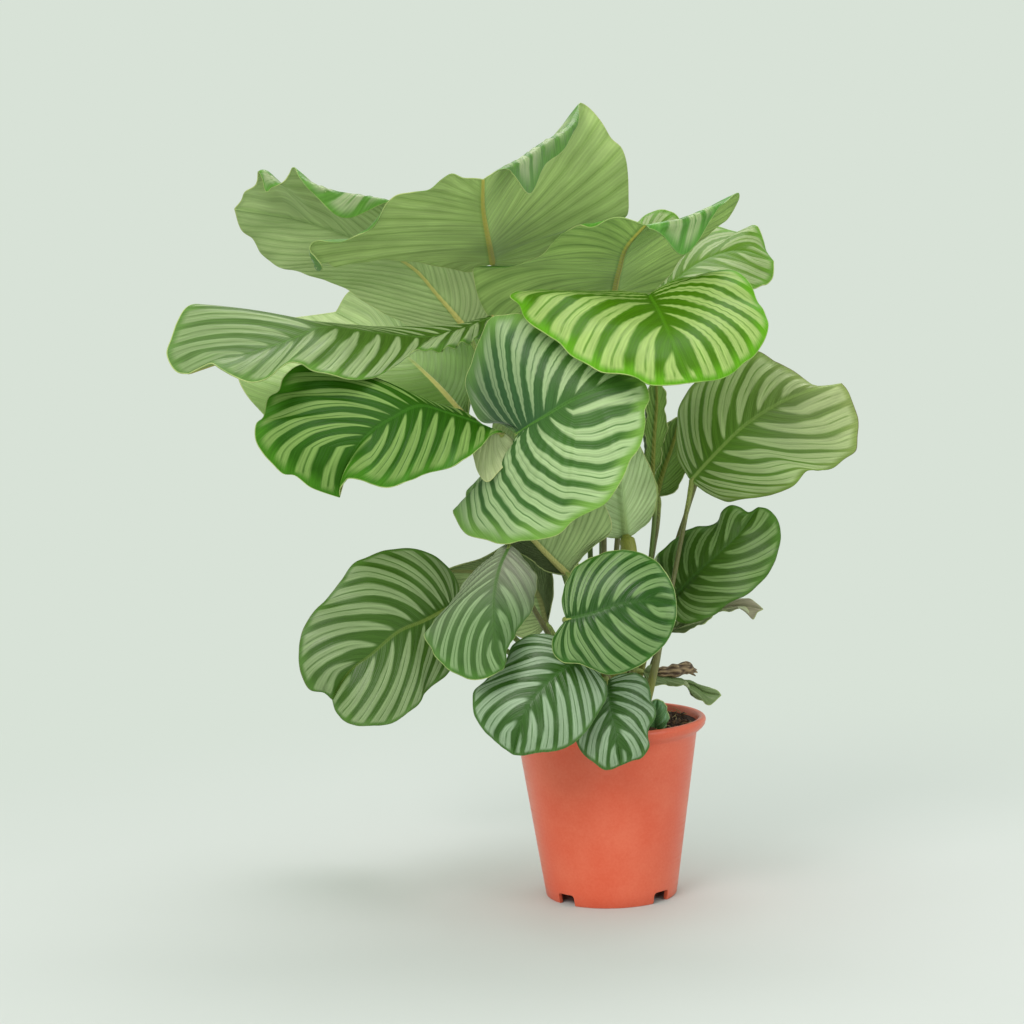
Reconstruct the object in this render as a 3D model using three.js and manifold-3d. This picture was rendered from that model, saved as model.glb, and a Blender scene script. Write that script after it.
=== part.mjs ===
// A potted calathea: round banded leaves on thin stems, rooted in soil in a tapered nursery pot.
// Millimetres, +Z up. The origin is the middle of the pot's foot, on the surface that it stands on.
// +X is to the right and +Y runs away from the viewer, who sees the plant from the front.
import * as THREE from 'three';
import * as BufferGeometryUtils from 'three/addons/utils/BufferGeometryUtils.js';
import Module from 'manifold-3d';

// ---------------------------------------------------------------- driving dimensions, mm

const POT_HEIGHT = 114;
const POT_RIM_RADIUS = 63.5;
const POT_FOOT_RADIUS = 42;
const POT_WALL = 1.5;
const POT_NECK_RADIUS = 57.5; // outside of the wall, just under the lip
const POT_NECK_HEIGHT = 104;
const POT_SIDES = 40;
const FLOOR_HEIGHT = 8; // underside of the raised floor
const FLOOR_THICKNESS = 1.6;
const BOSS_RADIUS = 14; // middle foot, flush with the skirt's lower edge
const NOTCH_WIDTH = 13; // air gap in the skirt
const NOTCH_HEIGHT = 7;
const NOTCH_COUNT = 4;
const DRAIN_RADIUS = 4.5;
const DRAIN_CIRCLE = 28;
const DRAIN_COUNT = 4;

const GAP = 0.3; // clearance between pieces that touch
const SOIL_EDGE = 97; // soil height at the wall
const SOIL_CROWN = 3; // how much higher the soil is round the stems
const SOIL_ROUGHNESS = 1.1;
const SOIL_SIDES = 30;
const SOIL_RINGS = 7;

const BLADE_THICKNESS = 0.7;
const RIB_DEPTH = 1.0; // how far the midrib stands out under the blade
const STEM_FOOT = 84; // height at which a stem's buried foot ends
const STEM_FOOT_RADIUS = 2.4;
const STEM_TOP_RADIUS = 1.45;
const JOINT_RADIUS = 1.7; // the swollen joint under each blade
const STEM_SIDES = 6;
const STEM_STEPS = 8;
const STEM_REACH = 0.18; // how straight a stem comes into its blade, as a share of its length
const STEM_RISE = 0.45; // how straight a stem leaves the soil, as a share of its length
const STEM_BEND = 0.8; // how far the joint turns a stem in under its blade
const JOINT_GAP = 1.3; // from the stem's end to the middle of the blade's base
const JOINT_DROP = 1.9; // how far below the blade's base the stem ends

const LARGE_GRID = { along: 14, across: 4 };
const SMALL_GRID = { along: 9, across: 3 };
const VEIN_SWEEP = 1.6; // how much closer together the veins leave the midrib near its base
const VEIN_REACH = 0.55; // where along a vein its bend lies
const VEIN_BACK = 0.45; // how squarely a vein leaves the midrib before it bends to the tip
const BLADE_ARCH = [6, 6]; // how far the left and right halves bulge upwards
const MARGIN_WAVE = 1.2;
const MARGIN_WAVES = 4;

// ---------------------------------------------------------------- leaves
// Each blade is given by a few points: its midrib from the base to the tip, and the margin of its
// left and right half, seen from above with the tip up, without the base and the tip. root is where
// its stem leaves the soil, lean tips the stem's foot, aim turns the stem's end, and roll curls a
// stretch of margin over: at and spread say where, hem how wide and turn how far, in degrees.

const LEAVES = {
  crown: {
    midrib: [[-63, 45, 407], [-65, -25, 418], [-67, -75, 432], [-66, -130, 445]],
    left: [
      [-55, 62, 409], [-44, 66, 407], [-32, 64, 411], [-26, 60, 421], [-14, 57, 429],
      [-3, 55, 435], [8, 50, 431], [19, 46, 432], [25, 42, 434], [26, 34, 448], [25, 26, 460],
      [21, 14, 476], [15, 10, 481], [8, 2, 491], [1, -2, 498], [-5, -6, 500], [-14, -25, 487],
      [-27, -48, 476], [-43, -82, 462], [-56, -110, 453],
    ],
    right: [
      [-72, 44, 404], [-78, 42, 402], [-97, 28, 406], [-122, 10, 408], [-143, -8, 409],
      [-156, -20, 407], [-161, -27, 405], [-166, -33, 408], [-170, -38, 405], [-172, -45, 412],
      [-170, -52, 418], [-160, -58, 418], [-150, -65, 419], [-137, -74, 423], [-126, -84, 431],
      [-121, -92, 437], [-116, -96, 441], [-108, -101, 442], [-98, -106, 443], [-90, -112, 448],
      [-84, -116, 450], [-78, -120, 447], [-71, -126, 446],
    ],
    root: [-3.6, 3.3], lean: [0, -0.15], arch: [4, 6],
    roll: { side: 'left', at: 0.865, spread: 0.085, hem: 24, turn: 165 },
  },
  back_left: {
    midrib: [[-80, 74, 362], [-99, 74, 387], [-117, 68, 408], [-176, 52, 436], [-229, 34, 447]],
    left: [
      [-66, 74, 373], [-64, 64, 395], [-81, 50, 414], [-103, 30, 432], [-126, 14, 446],
      [-139, 8, 449], [-158, 3, 453], [-173, 0, 459], [-181, 1, 464], [-186, 3, 469],
      [-190, 6, 464], [-195, 9, 459], [-199, 10, 462], [-204, 12, 468], [-209, 15, 468],
      [-213, 20, 461], [-221, 27, 457], [-224, 31, 452],
    ],
    right: [
      [-107, 88, 362], [-128, 95, 373], [-144, 97, 383], [-163, 93, 395], [-177, 86, 402],
      [-192, 78, 408], [-207, 72, 411], [-216, 66, 419], [-221, 58, 430], [-227, 48, 435],
    ],
    root: [-10.8, 3.3], roll: { side: 'left', at: 0.6, spread: 0.11, hem: 15, turn: 150 },
  },
  upper_right: {
    midrib: [[14, 30, 382], [16, -15, 397], [19, -50, 409], [29, -76, 420]],
    left: [
      [27, 38, 378], [41, 28, 387], [51, 18, 396], [62, 2, 409], [71, -8, 418], [84, -20, 426],
      [89, -28, 433], [89, -36, 441], [78, -46, 435], [63, -58, 428], [50, -66, 424],
      [39, -72, 422],
    ],
    right: [
      [-1, 40, 381], [-20, 38, 380], [-40, 30, 380], [-57, 20, 382], [-68, 0, 391],
      [-70, -15, 403], [-55, -22, 412], [-39, -25, 417], [-20, -35, 425], [-3, -50, 428],
      [15, -68, 425],
    ],
    root: [0, -3], roll: { side: 'left', at: 0.8, spread: 0.13, hem: 26, turn: 140 },
  },
  front_right: {
    midrib: [[32, -45, 380], [37, -76, 365], [41, -106, 348], [48, -125, 326]],
    left: [
      [40, -43, 384], [51, -40, 389], [64, -38, 392], [78, -38, 394], [88, -42, 390],
      [93, -48, 385], [96, -56, 376], [99, -66, 367], [100, -76, 357], [96, -86, 349],
      [90, -93, 342], [81, -101, 335], [72, -109, 329], [59, -118, 327],
    ],
    right: [
      [3, -36, 384], [-22, -42, 383], [-41, -52, 385], [-50, -66, 384], [-53, -73, 381],
      [-48, -80, 374], [-45, -88, 367], [-40, -95, 362], [-32, -101, 358], [-26, -107, 353],
      [-20, -113, 345], [-11, -119, 338], [-3, -123, 334], [8, -124, 333], [17, -127, 331],
      [25, -129, 326], [35, -128, 325],
    ],
    root: [7.2, -15.6], lean: [0.3, -0.5], arch: [8, 8],
  },
  right_back: {
    midrib: [[42, 40, 380], [73, 55, 404], [100, 60, 411], [122, 58, 403]],
    left: [
      [53, 70, 404], [69, 82, 418], [81, 86, 426], [91, 86, 428], [99, 84, 426], [104, 82, 425],
      [109, 80, 428], [114, 77, 427], [117, 72, 418], [119, 67, 410],
    ],
    right: [[63, 25, 379], [90, 30, 383], [112, 42, 386], [120, 50, 392]],
    root: [3.6, 3.3], small: true,
  },
  back_right: {
    midrib: [[28, 85, 382], [44, 112, 408], [58, 125, 425], [74, 130, 427]],
    left: [[25, 110, 409], [38, 130, 437], [50, 135, 445], [64, 136, 442]],
    right: [[53, 100, 388], [79, 115, 407], [86, 125, 419]],
    root: [0, 9.6], small: true,
  },
  left_long: {
    midrib: [
      [-63, -30, 371], [-87, -40, 362], [-102, -45, 359], [-132, -58, 362], [-165, -70, 366],
      [-184, -78, 359], [-206, -86, 352], [-227, -93, 346], [-243, -95, 341],
    ],
    left: [
      [-70, -38, 359], [-77, -46, 355], [-87, -53, 354], [-94, -57, 351], [-101, -61, 350],
      [-109, -65, 350], [-116, -70, 346], [-130, -84, 338], [-144, -94, 334], [-157, -99, 336],
      [-169, -101, 340], [-176, -102, 345], [-183, -103, 346], [-189, -105, 343],
      [-196, -107, 336], [-204, -108, 334], [-215, -108, 338], [-222, -107, 343],
      [-228, -104, 347], [-234, -100, 345],
    ],
    right: [
      [-78, -12, 368], [-103, -15, 362], [-134, -20, 365], [-165, -25, 369], [-186, -31, 371],
      [-207, -38, 374], [-227, -45, 378], [-243, -52, 382], [-249, -56, 380], [-253, -62, 374],
      [-256, -70, 364], [-258, -79, 355], [-255, -86, 347], [-250, -91, 342],
    ],
    root: [-7.2, -3], lean: [-0.15, 0], arch: [6, 3],
  },
  left_back: {
    midrib: [[-83, 50, 306], [-108, 78, 334], [-139, 112, 361], [-174, 130, 382]],
    left: [[-78, 75, 328], [-84, 110, 363], [-112, 132, 390], [-143, 140, 400], [-164, 136, 396]],
    right: [
      [-114, 40, 302], [-167, 45, 305], [-210, 55, 315], [-236, 65, 325], [-234, 94, 354],
      [-208, 118, 376],
    ],
    root: [-14.4, 9.6],
  },
  left: {
    midrib: [
      [-60, -80, 300], [-73, -80, 306], [-91, -84, 313], [-108, -90, 318], [-123, -95, 312],
      [-139, -97, 302], [-149, -95, 289], [-158, -85, 265],
    ],
    left: [
      [-55, -88, 296], [-54, -91, 291], [-57, -94, 285], [-64, -96, 277], [-72, -97, 271],
      [-78, -97, 276], [-81, -97, 280], [-91, -98, 281], [-103, -100, 281], [-116, -104, 274],
      [-128, -106, 271], [-137, -104, 273], [-146, -100, 276], [-152, -96, 276], [-157, -90, 271],
    ],
    right: [
      [-66, -73, 305], [-81, -62, 309], [-97, -58, 316], [-112, -59, 320], [-124, -62, 324],
      [-142, -66, 333], [-162, -69, 342], [-180, -72, 345], [-190, -73, 337], [-193, -74, 329],
      [-199, -75, 325], [-202, -78, 313], [-206, -80, 310], [-207, -82, 301], [-203, -84, 293],
      [-197, -86, 286], [-191, -87, 280], [-184, -88, 279], [-175, -88, 272], [-166, -87, 268],
    ],
    root: [-10.8, -9.3], aim: [-0.1, -1, -0.1], reach: 0.3,
    roll: { side: 'left', at: 0.17, spread: 0.1, hem: 22, turn: -165 },
  },
  centre: {
    midrib: [[-52, -76, 299], [-35, -90, 309], [-17, -98, 319], [4, -103, 326], [23, -105, 328]],
    left: [
      [-62, -54, 305], [-74, -48, 307], [-79, -46, 317], [-81, -48, 329], [-77, -55, 343],
      [-71, -63, 360], [-64, -67, 369], [-56, -69, 370], [-46, -70, 370], [-24, -74, 360],
      [0, -82, 346], [15, -92, 335],
    ],
    right: [
      [-57, -64, 284], [-64, -56, 276], [-74, -50, 268], [-81, -50, 264], [-83, -52, 258],
      [-84, -54, 254], [-90, -57, 253], [-91, -60, 249], [-86, -66, 242], [-81, -70, 238],
      [-72, -76, 236], [-65, -82, 234], [-58, -88, 234], [-51, -93, 236], [-40, -99, 237],
      [-30, -104, 240], [-21, -108, 248], [-11, -111, 253], [-1, -113, 258], [6, -114, 267],
      [10, -115, 275], [13, -114, 282], [19, -113, 290], [23, -111, 304], [23, -110, 311],
      [26, -108, 317], [25, -106, 324],
    ],
    root: [-3.6, -9.3],
  },
  right: {
    midrib: [
      [59, 10, 263], [76, -2, 282], [93, -8, 298], [114, -14, 311], [133, -15, 318],
      [153, -15, 322],
    ],
    left: [
      [52, 29, 280], [52, 31, 292], [55, 31, 307], [60, 28, 319], [68, 22, 329], [83, 14, 339],
      [98, 8, 344], [104, 5, 344], [114, 0, 337], [125, -5, 330], [131, -7, 325], [140, -10, 320],
      [147, -12, 320],
    ],
    right: [
      [70, 15, 254], [81, 8, 249], [92, 0, 251], [104, -6, 252], [116, -12, 256], [123, -15, 260],
      [130, -17, 268], [138, -18, 268], [145, -19, 269], [153, -21, 275], [160, -22, 280],
      [161, -22, 288], [162, -21, 299], [159, -19, 310], [156, -17, 318],
    ],
    root: [14.4, -3], lean: [0.3, 0],
  },
  right_low: {
    midrib: [[46, -5, 190], [56, -11, 202], [71, -17, 216], [85, -20, 229], [99, -15, 246]],
    left: [
      [38, 0, 197], [36, 5, 213], [43, 6, 222], [52, 5, 230], [61, 2, 233], [72, -4, 236],
      [77, -7, 243], [82, -9, 247], [88, -11, 246], [93, -13, 243],
    ],
    right: [
      [48, -10, 181], [59, -17, 178], [67, -22, 180], [72, -25, 184], [79, -28, 188],
      [87, -30, 192], [97, -31, 200], [105, -31, 210], [110, -29, 222], [111, -26, 232],
      [109, -22, 240], [104, -18, 245],
    ],
    root: [18, -9.3], small: true,
  },
  right_small: {
    midrib: [[42, 14, 165], [63, 18, 172], [87, 22, 180], [105, 22, 177]],
    left: [[58, 26, 178], [77, 26, 181], [90, 26, 183], [98, 25, 183]],
    right: [[56, 12, 166], [75, 16, 176], [86, 19, 178], [94, 20, 178], [98, 20, 171], [101, 21, 175]],
    root: [20.5, 3.3], small: true,
  },
  left_low: {
    midrib: [
      [-93, -60, 196], [-111, -70, 188], [-126, -78, 183], [-142, -86, 171], [-156, -88, 161],
      [-167, -85, 144],
    ],
    left: [
      [-91, -66, 175], [-95, -72, 161], [-99, -76, 155], [-107, -82, 150], [-112, -87, 146],
      [-115, -91, 141], [-122, -95, 136], [-131, -98, 131], [-141, -99, 130], [-152, -98, 130],
      [-160, -95, 133], [-165, -90, 138],
    ],
    right: [
      [-90, -50, 205], [-94, -46, 215], [-100, -45, 221], [-110, -45, 227], [-122, -47, 230],
      [-134, -50, 230], [-146, -56, 226], [-154, -60, 222], [-161, -66, 213], [-170, -72, 203],
      [-178, -77, 195], [-184, -82, 184], [-186, -86, 172], [-185, -88, 161], [-180, -88, 151],
      [-172, -87, 149],
    ],
    root: [-18, -9.3],
  },
  folded: {
    midrib: [
      [-58, -82, 233], [-64, -92, 222], [-68, -102, 207], [-69, -107, 190], [-68, -107, 174],
      [-64, -104, 162],
    ],
    left: [
      [-52, -74, 227], [-46, -73, 219], [-43, -74, 210], [-44, -79, 199], [-49, -86, 190],
      [-56, -92, 181], [-62, -97, 173], [-62, -101, 168],
    ],
    right: [
      [-64, -79, 231], [-73, -79, 221], [-82, -80, 214], [-92, -84, 203], [-101, -88, 191],
      [-110, -91, 182], [-107, -94, 174], [-101, -97, 166], [-93, -100, 160], [-84, -102, 156],
      [-77, -104, 156], [-70, -105, 159],
    ],
    root: [-14.4, -15.6], aim: [0, -0.3, 0.95],
  },
  behind_folded: {
    midrib: [[-36, -8, 175], [-43, -14, 198], [-65, -20, 209], [-100, -30, 214]],
    left: [[-32, -10, 194], [-34, -12, 217], [-52, -15, 230], [-77, -22, 220], [-91, -28, 217]],
    right: [[-47, -14, 167], [-66, -18, 177], [-84, -22, 194], [-96, -28, 205]],
    root: [-16.9, -3], small: true,
  },
  low_round: {
    midrib: [[-26, -105, 190], [-10, -111, 194], [5, -114, 199], [22, -115, 201], [38, -112, 198]],
    left: [
      [-28, -98, 198], [-27, -95, 208], [-22, -94, 216], [-14, -94, 223], [-3, -97, 228],
      [8, -100, 229], [18, -103, 228], [27, -106, 223], [33, -108, 215], [37, -110, 207],
    ],
    right: [
      [-31, -102, 184], [-35, -100, 177], [-34, -101, 170], [-29, -104, 165], [-20, -108, 164],
      [-12, -111, 161], [-3, -113, 158], [6, -114, 159], [16, -115, 163], [24, -115, 169],
      [32, -115, 177], [37, -114, 188],
    ],
    root: [0, -15.6], lean: [0.5, 0], aim: [0.3, -1, 0], reach: 0.3,
  },
  pot_left: {
    midrib: [[-16, -86, 165], [-31, -92, 157], [-43, -97, 147], [-53, -99, 134], [-60, -94, 109]],
    left: [
      [-8, -83, 156], [-3, -86, 148], [-4, -90, 140], [-9, -95, 132], [-16, -99, 123],
      [-24, -101, 116], [-33, -101, 112], [-45, -100, 111], [-54, -98, 109],
    ],
    right: [
      [-23, -83, 172], [-35, -82, 178], [-48, -80, 178], [-58, -78, 173], [-64, -80, 161],
      [-74, -81, 153], [-82, -83, 147], [-83, -86, 139], [-81, -89, 130], [-76, -91, 122],
      [-68, -93, 115],
    ],
    root: [-6.1, -21.9],
  },
  pot_right: {
    midrib: [[-2, -72, 148], [-1, -79, 134], [2, -84, 118], [4, -82, 98]],
    left: [
      [7, -67, 151], [17, -66, 151], [23, -66, 144], [25, -68, 135], [27, -70, 127],
      [22, -74, 117], [22, -77, 109], [17, -79, 102], [10, -81, 100],
    ],
    right: [
      [-8, -71, 144], [-13, -74, 135], [-19, -79, 123], [-22, -82, 114], [-18, -84, 106],
      [-12, -85, 101], [-5, -85, 96],
    ],
    root: [3.6, -21.9], small: true,
  },
  sprout: {
    midrib: [[28, -38, 105], [30, -42, 117], [34, -42, 130]],
    left: [[25, -42, 113], [27, -43, 124]],
    right: [[35, -37, 109], [37, -40, 121]],
    root: [33, -34], small: true,
  },
  behind_centre: {
    midrib: [[15, -15, 229], [13, -20, 254], [11, -30, 282], [6, -45, 311]],
    left: [
      [23, -12, 233], [31, -14, 241], [35, -16, 251], [35, -18, 260], [32, -22, 272],
      [26, -28, 285], [18, -38, 301],
    ],
    right: [[-1, -18, 232], [-17, -25, 246], [-23, -32, 268], [-16, -42, 293], [-5, -46, 308]],
    root: [3.6, -9.3], small: true,
  },
  under_centre: {
    midrib: [[-23, -55, 211], [-37, -58, 226], [-51, -60, 243], [-63, -58, 262]],
    left: [[-8, -48, 227], [5, -46, 237], [-2, -50, 256], [-26, -55, 269], [-47, -58, 273]],
    right: [[-35, -60, 214], [-46, -62, 222], [-58, -65, 232], [-65, -62, 247]],
    root: [-7.2, -15.6], small: true,
  },
  inner_right: {
    midrib: [[39, 42, 251], [45, 48, 268], [51, 50, 283], [57, 48, 304]],
    left: [[52, 48, 254], [61, 54, 271], [64, 52, 291]],
    right: [[36, 40, 262], [39, 42, 282], [46, 44, 298]],
    root: [14.4, 9.6], small: true,
  },
  inner_strip: {
    midrib: [[34, 0, 263], [36, 0, 290], [38, -5, 315], [37, -12, 334]],
    left: [[41, 10, 280], [45, 12, 302], [43, 6, 323]],
    right: [[30, -6, 281], [30, -10, 303], [32, -12, 323]],
    root: [7.2, -3], small: true,
  },
  withered: {
    midrib: [[25, -20, 147], [40, -15, 138], [57, -5, 131], [74, 0, 125]],
    left: [[41, -8, 145], [56, 0, 137], [67, 2, 132]],
    right: [[37, -18, 133], [53, -8, 125], [65, -2, 119]],
    root: [10.8, -9.3], small: true,
  },
  rear_high: {
    midrib: [[-7, 55, 315], [-21, 92, 324], [-37, 130, 315], [-50, 160, 288]],
    left: [[-27, 60, 309], [-49, 90, 316], [-68, 120, 297], [-66, 146, 273]],
    right: [[1, 75, 302], [5, 112, 287], [0, 145, 269], [-24, 158, 264]],
    root: [-7.2, 9.6], small: true,
  },
  rear_right: {
    midrib: [[72, 75, 280], [100, 110, 298], [128, 145, 293], [148, 165, 274]],
    left: [[75, 82, 260], [102, 112, 253], [131, 146, 255]],
    right: [[74, 92, 310], [105, 120, 324], [140, 150, 321], [161, 164, 301]],
    root: [10.8, 3.3], lean: [0.15, 0], small: true,
  },
  rear_left: {
    midrib: [[-99, 50, 180], [-127, 80, 184], [-156, 105, 169], [-180, 120, 136]],
    left: [[-112, 58, 201], [-140, 85, 206], [-173, 110, 188], [-189, 120, 160]],
    right: [[-104, 56, 153], [-122, 82, 129], [-148, 106, 113], [-170, 118, 115]],
    root: [-18, 3.3], small: true,
  },
  rear_low: {
    midrib: [[30, 50, 190], [57, 90, 198], [84, 120, 199], [112, 142, 187]],
    left: [[41, 62, 174], [64, 92, 173], [93, 128, 172]],
    right: [[36, 62, 206], [62, 95, 219], [96, 128, 221], [122, 145, 204]],
    root: [7.2, 9.6], small: true,
  },
};

// ---------------------------------------------------------------- materials

const MATERIALS = {
  pot: new THREE.MeshStandardMaterial({ color: 0xe2684b, roughness: 0.45, metalness: 0 }),
  soil: new THREE.MeshStandardMaterial({ color: 0x3a2a20, roughness: 0.95, metalness: 0 }),
  blade: new THREE.MeshStandardMaterial({ color: 0x5d8f45, roughness: 0.4, metalness: 0 }),
  stem: new THREE.MeshStandardMaterial({ color: 0x7d8040, roughness: 0.5, metalness: 0 }),
};

// ---------------------------------------------------------------- helpers

const vec = ([x, y, z]) => new THREE.Vector3(x, y, z);

/** Smooth curve through points, run by arc length. */
const curveThrough = (points) => new THREE.CatmullRomCurve3(points.map(vec), false, 'centripetal');

/** Direction a curve takes at a share of its length. */
function direction(curve, share) {
  const before = curve.getPointAt(Math.max(0, share - 0.01));
  const after = curve.getPointAt(Math.min(1, share + 0.01));
  return after.sub(before).normalize();
}

/** Mesh made of corner points and faces given by their corners' numbers. */
function meshGeometry(points, faces) {
  const geometry = new THREE.BufferGeometry();
  geometry.setAttribute('position', new THREE.Float32BufferAttribute(points.flatMap((p) => p.toArray()), 3));
  geometry.setIndex(faces.flat());
  return geometry;
}

// ---------------------------------------------------------------- blades

/** Rows of points of one half blade: one row for each vein, from the midrib out to the margin. */
function halfRows(leaf, side, grid, midrib, faceDirections) {
  const margin = curveThrough([leaf.midrib[0], ...leaf[side], leaf.midrib.at(-1)]);
  const hand = side === 'left' ? -1 : 1;
  const index = side === 'left' ? 0 : 1;
  const arch = (leaf.arch ?? BLADE_ARCH)[index];
  const rows = [];
  for (let i = 1; i < grid.along; i++) {
    const s = i / grid.along;
    const share = s ** VEIN_SWEEP;
    const start = midrib.getPointAt(share);
    const along = direction(midrib, share);
    const end = margin.getPointAt(s);
    const out = end.clone().sub(start);
    const length = out.length();
    const up = out.clone().multiplyScalar(hand).cross(along);
    up.addScaledVector(faceDirections[i], 0.15 * length).normalize();
    const bend = start.clone().addScaledVector(out, VEIN_REACH);
    bend.addScaledVector(along, -VEIN_BACK * VEIN_REACH * out.dot(along));
    bend.addScaledVector(up, arch * Math.sin(Math.PI * s) ** 0.7);
    const vein = new THREE.QuadraticBezierCurve3(start, bend, end);
    const outward = end.clone().sub(bend).normalize();
    const down = up.clone().addScaledVector(outward, -up.dot(outward)).normalize().negate();
    const roll = leaf.roll?.side === side ? leaf.roll : { at: 0, spread: 1, hem: 0, turn: 0 };
    const bell = Math.exp(-(((s - roll.at) / roll.spread) ** 2));
    const hem = roll.hem * bell;
    const turn = THREE.MathUtils.degToRad(roll.turn * bell);
    const phase = 2 * Math.PI * (MARGIN_WAVES * s + 0.3 * index);
    const wave = MARGIN_WAVE * Math.sin(phase) * Math.min(1, 6 * s * (1 - s));
    const row = [];
    for (let j = 1; j <= grid.across; j++) {
      const t = j / grid.across;
      const run = t * (1 + hem / length);
      const point = vein.getPoint(Math.min(run, 1));
      const over = Math.max(run - 1, 0) * length;
      if (over > 0) {
        const angle = turn * (over / hem);
        const radius = hem / Math.max(Math.abs(turn), 0.001);
        point.addScaledVector(outward, radius * Math.sin(Math.abs(angle)));
        point.addScaledVector(down, radius * (1 - Math.cos(angle)) * Math.sign(turn));
      }
      point.addScaledVector(up, wave * t ** 3);
      row.push(point);
    }
    rows.push(row);
  }
  return rows;
}

/** Direction that the upper face looks in at each vein, evened out along the blade. */
function faceDirectionsOf(leaf, grid, midrib) {
  const left = curveThrough([leaf.midrib[0], ...leaf.left, leaf.midrib.at(-1)]);
  const right = curveThrough([leaf.midrib[0], ...leaf.right, leaf.midrib.at(-1)]);
  let ups = [];
  for (let i = 0; i <= grid.along; i++) {
    const s = THREE.MathUtils.clamp(i / grid.along, 0.02, 0.98);
    const across = right.getPointAt(s).sub(left.getPointAt(s)).normalize();
    ups.push(across.cross(direction(midrib, s ** VEIN_SWEEP)).normalize());
  }
  for (let pass = 0; pass < 3; pass++) {
    ups = ups.map((up, i) => {
      const sum = up.clone().multiplyScalar(2);
      sum.add(ups[Math.max(0, i - 1)]);
      sum.add(ups[Math.min(ups.length - 1, i + 1)]);
      return sum.normalize();
    });
  }
  return ups;
}

/** Thin closed blade: two like sheets either side of the leaf's surface, joined round the margin. */
function bladeGeometry(leaf) {
  const grid = leaf.small ? SMALL_GRID : LARGE_GRID;
  const midrib = curveThrough(leaf.midrib);
  const ups = faceDirectionsOf(leaf, grid, midrib);
  const left = halfRows(leaf, 'left', grid, midrib, ups);
  const right = halfRows(leaf, 'right', grid, midrib, ups);
  const surface = [vec(leaf.midrib[0])];
  const ribOf = [0];
  for (let i = 1; i < grid.along; i++) {
    const middle = midrib.getPointAt((i / grid.along) ** VEIN_SWEEP);
    surface.push(...left[i - 1].toReversed(), middle, ...right[i - 1]);
    for (let j = -grid.across; j <= grid.across; j++) ribOf.push(j === 0 ? 1 - i / grid.along : 0);
  }
  surface.push(vec(leaf.midrib.at(-1)));
  ribOf.push(0);
  const width = 2 * grid.across + 1;
  const tip = surface.length - 1;
  const at = (row, column) => 1 + (row - 1) * width + column;
  const sheet = [];
  for (let j = 0; j < width - 1; j++) {
    sheet.push([0, at(1, j + 1), at(1, j)]);
    for (let i = 1; i < grid.along - 1; i++) {
      sheet.push([at(i, j), at(i, j + 1), at(i + 1, j + 1)]);
      sheet.push([at(i, j), at(i + 1, j + 1), at(i + 1, j)]);
    }
    sheet.push([tip, at(grid.along - 1, j), at(grid.along - 1, j + 1)]);
  }
  const normals = meshGeometry(surface, sheet);
  normals.computeVertexNormals();
  const normalAt = (k) => new THREE.Vector3().fromBufferAttribute(normals.attributes.normal, k);
  const upper = surface.map((p, k) => p.clone().addScaledVector(normalAt(k), BLADE_THICKNESS / 2));
  const lower = surface.map((p, k) => {
    const depth = BLADE_THICKNESS / 2 + RIB_DEPTH * ribOf[k];
    return p.clone().addScaledVector(normalAt(k), -depth);
  });
  const count = surface.length;
  const faces = [...sheet, ...sheet.map(([a, b, c]) => [a + count, c + count, b + count])];
  const rim = [0];
  for (let i = 1; i < grid.along; i++) rim.push(at(i, width - 1));
  rim.push(tip);
  for (let i = grid.along - 1; i > 0; i--) rim.push(at(i, 0));
  rim.forEach((a, k) => {
    const b = rim[(k + 1) % rim.length];
    faces.push([a, a + count, b + count]);
    faces.push([a, b + count, b]);
  });
  return meshGeometry([...upper, ...lower], faces);
}

// ---------------------------------------------------------------- stems

/** Route of a leaf's stem, from its foot in the soil up and in under the blade's base. */
function stemCurve(leaf) {
  const base = vec(leaf.midrib[0]);
  const midrib = curveThrough(leaf.midrib);
  const along = midrib.getPointAt(0.03).sub(base).normalize();
  const across = vec(leaf.right[0]).sub(vec(leaf.left[0]));
  const up = across.cross(along).normalize();
  const arrive = leaf.aim ? vec(leaf.aim) : along.clone().addScaledVector(up, STEM_BEND);
  arrive.normalize();
  const foot = new THREE.Vector3(leaf.root[0], leaf.root[1], STEM_FOOT);
  const top = base.addScaledVector(arrive, -JOINT_GAP).addScaledVector(up, -JOINT_DROP);
  const length = top.distanceTo(foot);
  const [leanX, leanY] = leaf.lean ?? [0, 0];
  const leave = new THREE.Vector3(leanX, leanY, 1).normalize();
  const lower = foot.clone().addScaledVector(leave, STEM_RISE * length);
  const upper = top.clone().addScaledVector(arrive, -(leaf.reach ?? STEM_REACH) * length);
  return new THREE.CubicBezierCurve3(foot, lower, upper, top);
}

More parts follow.
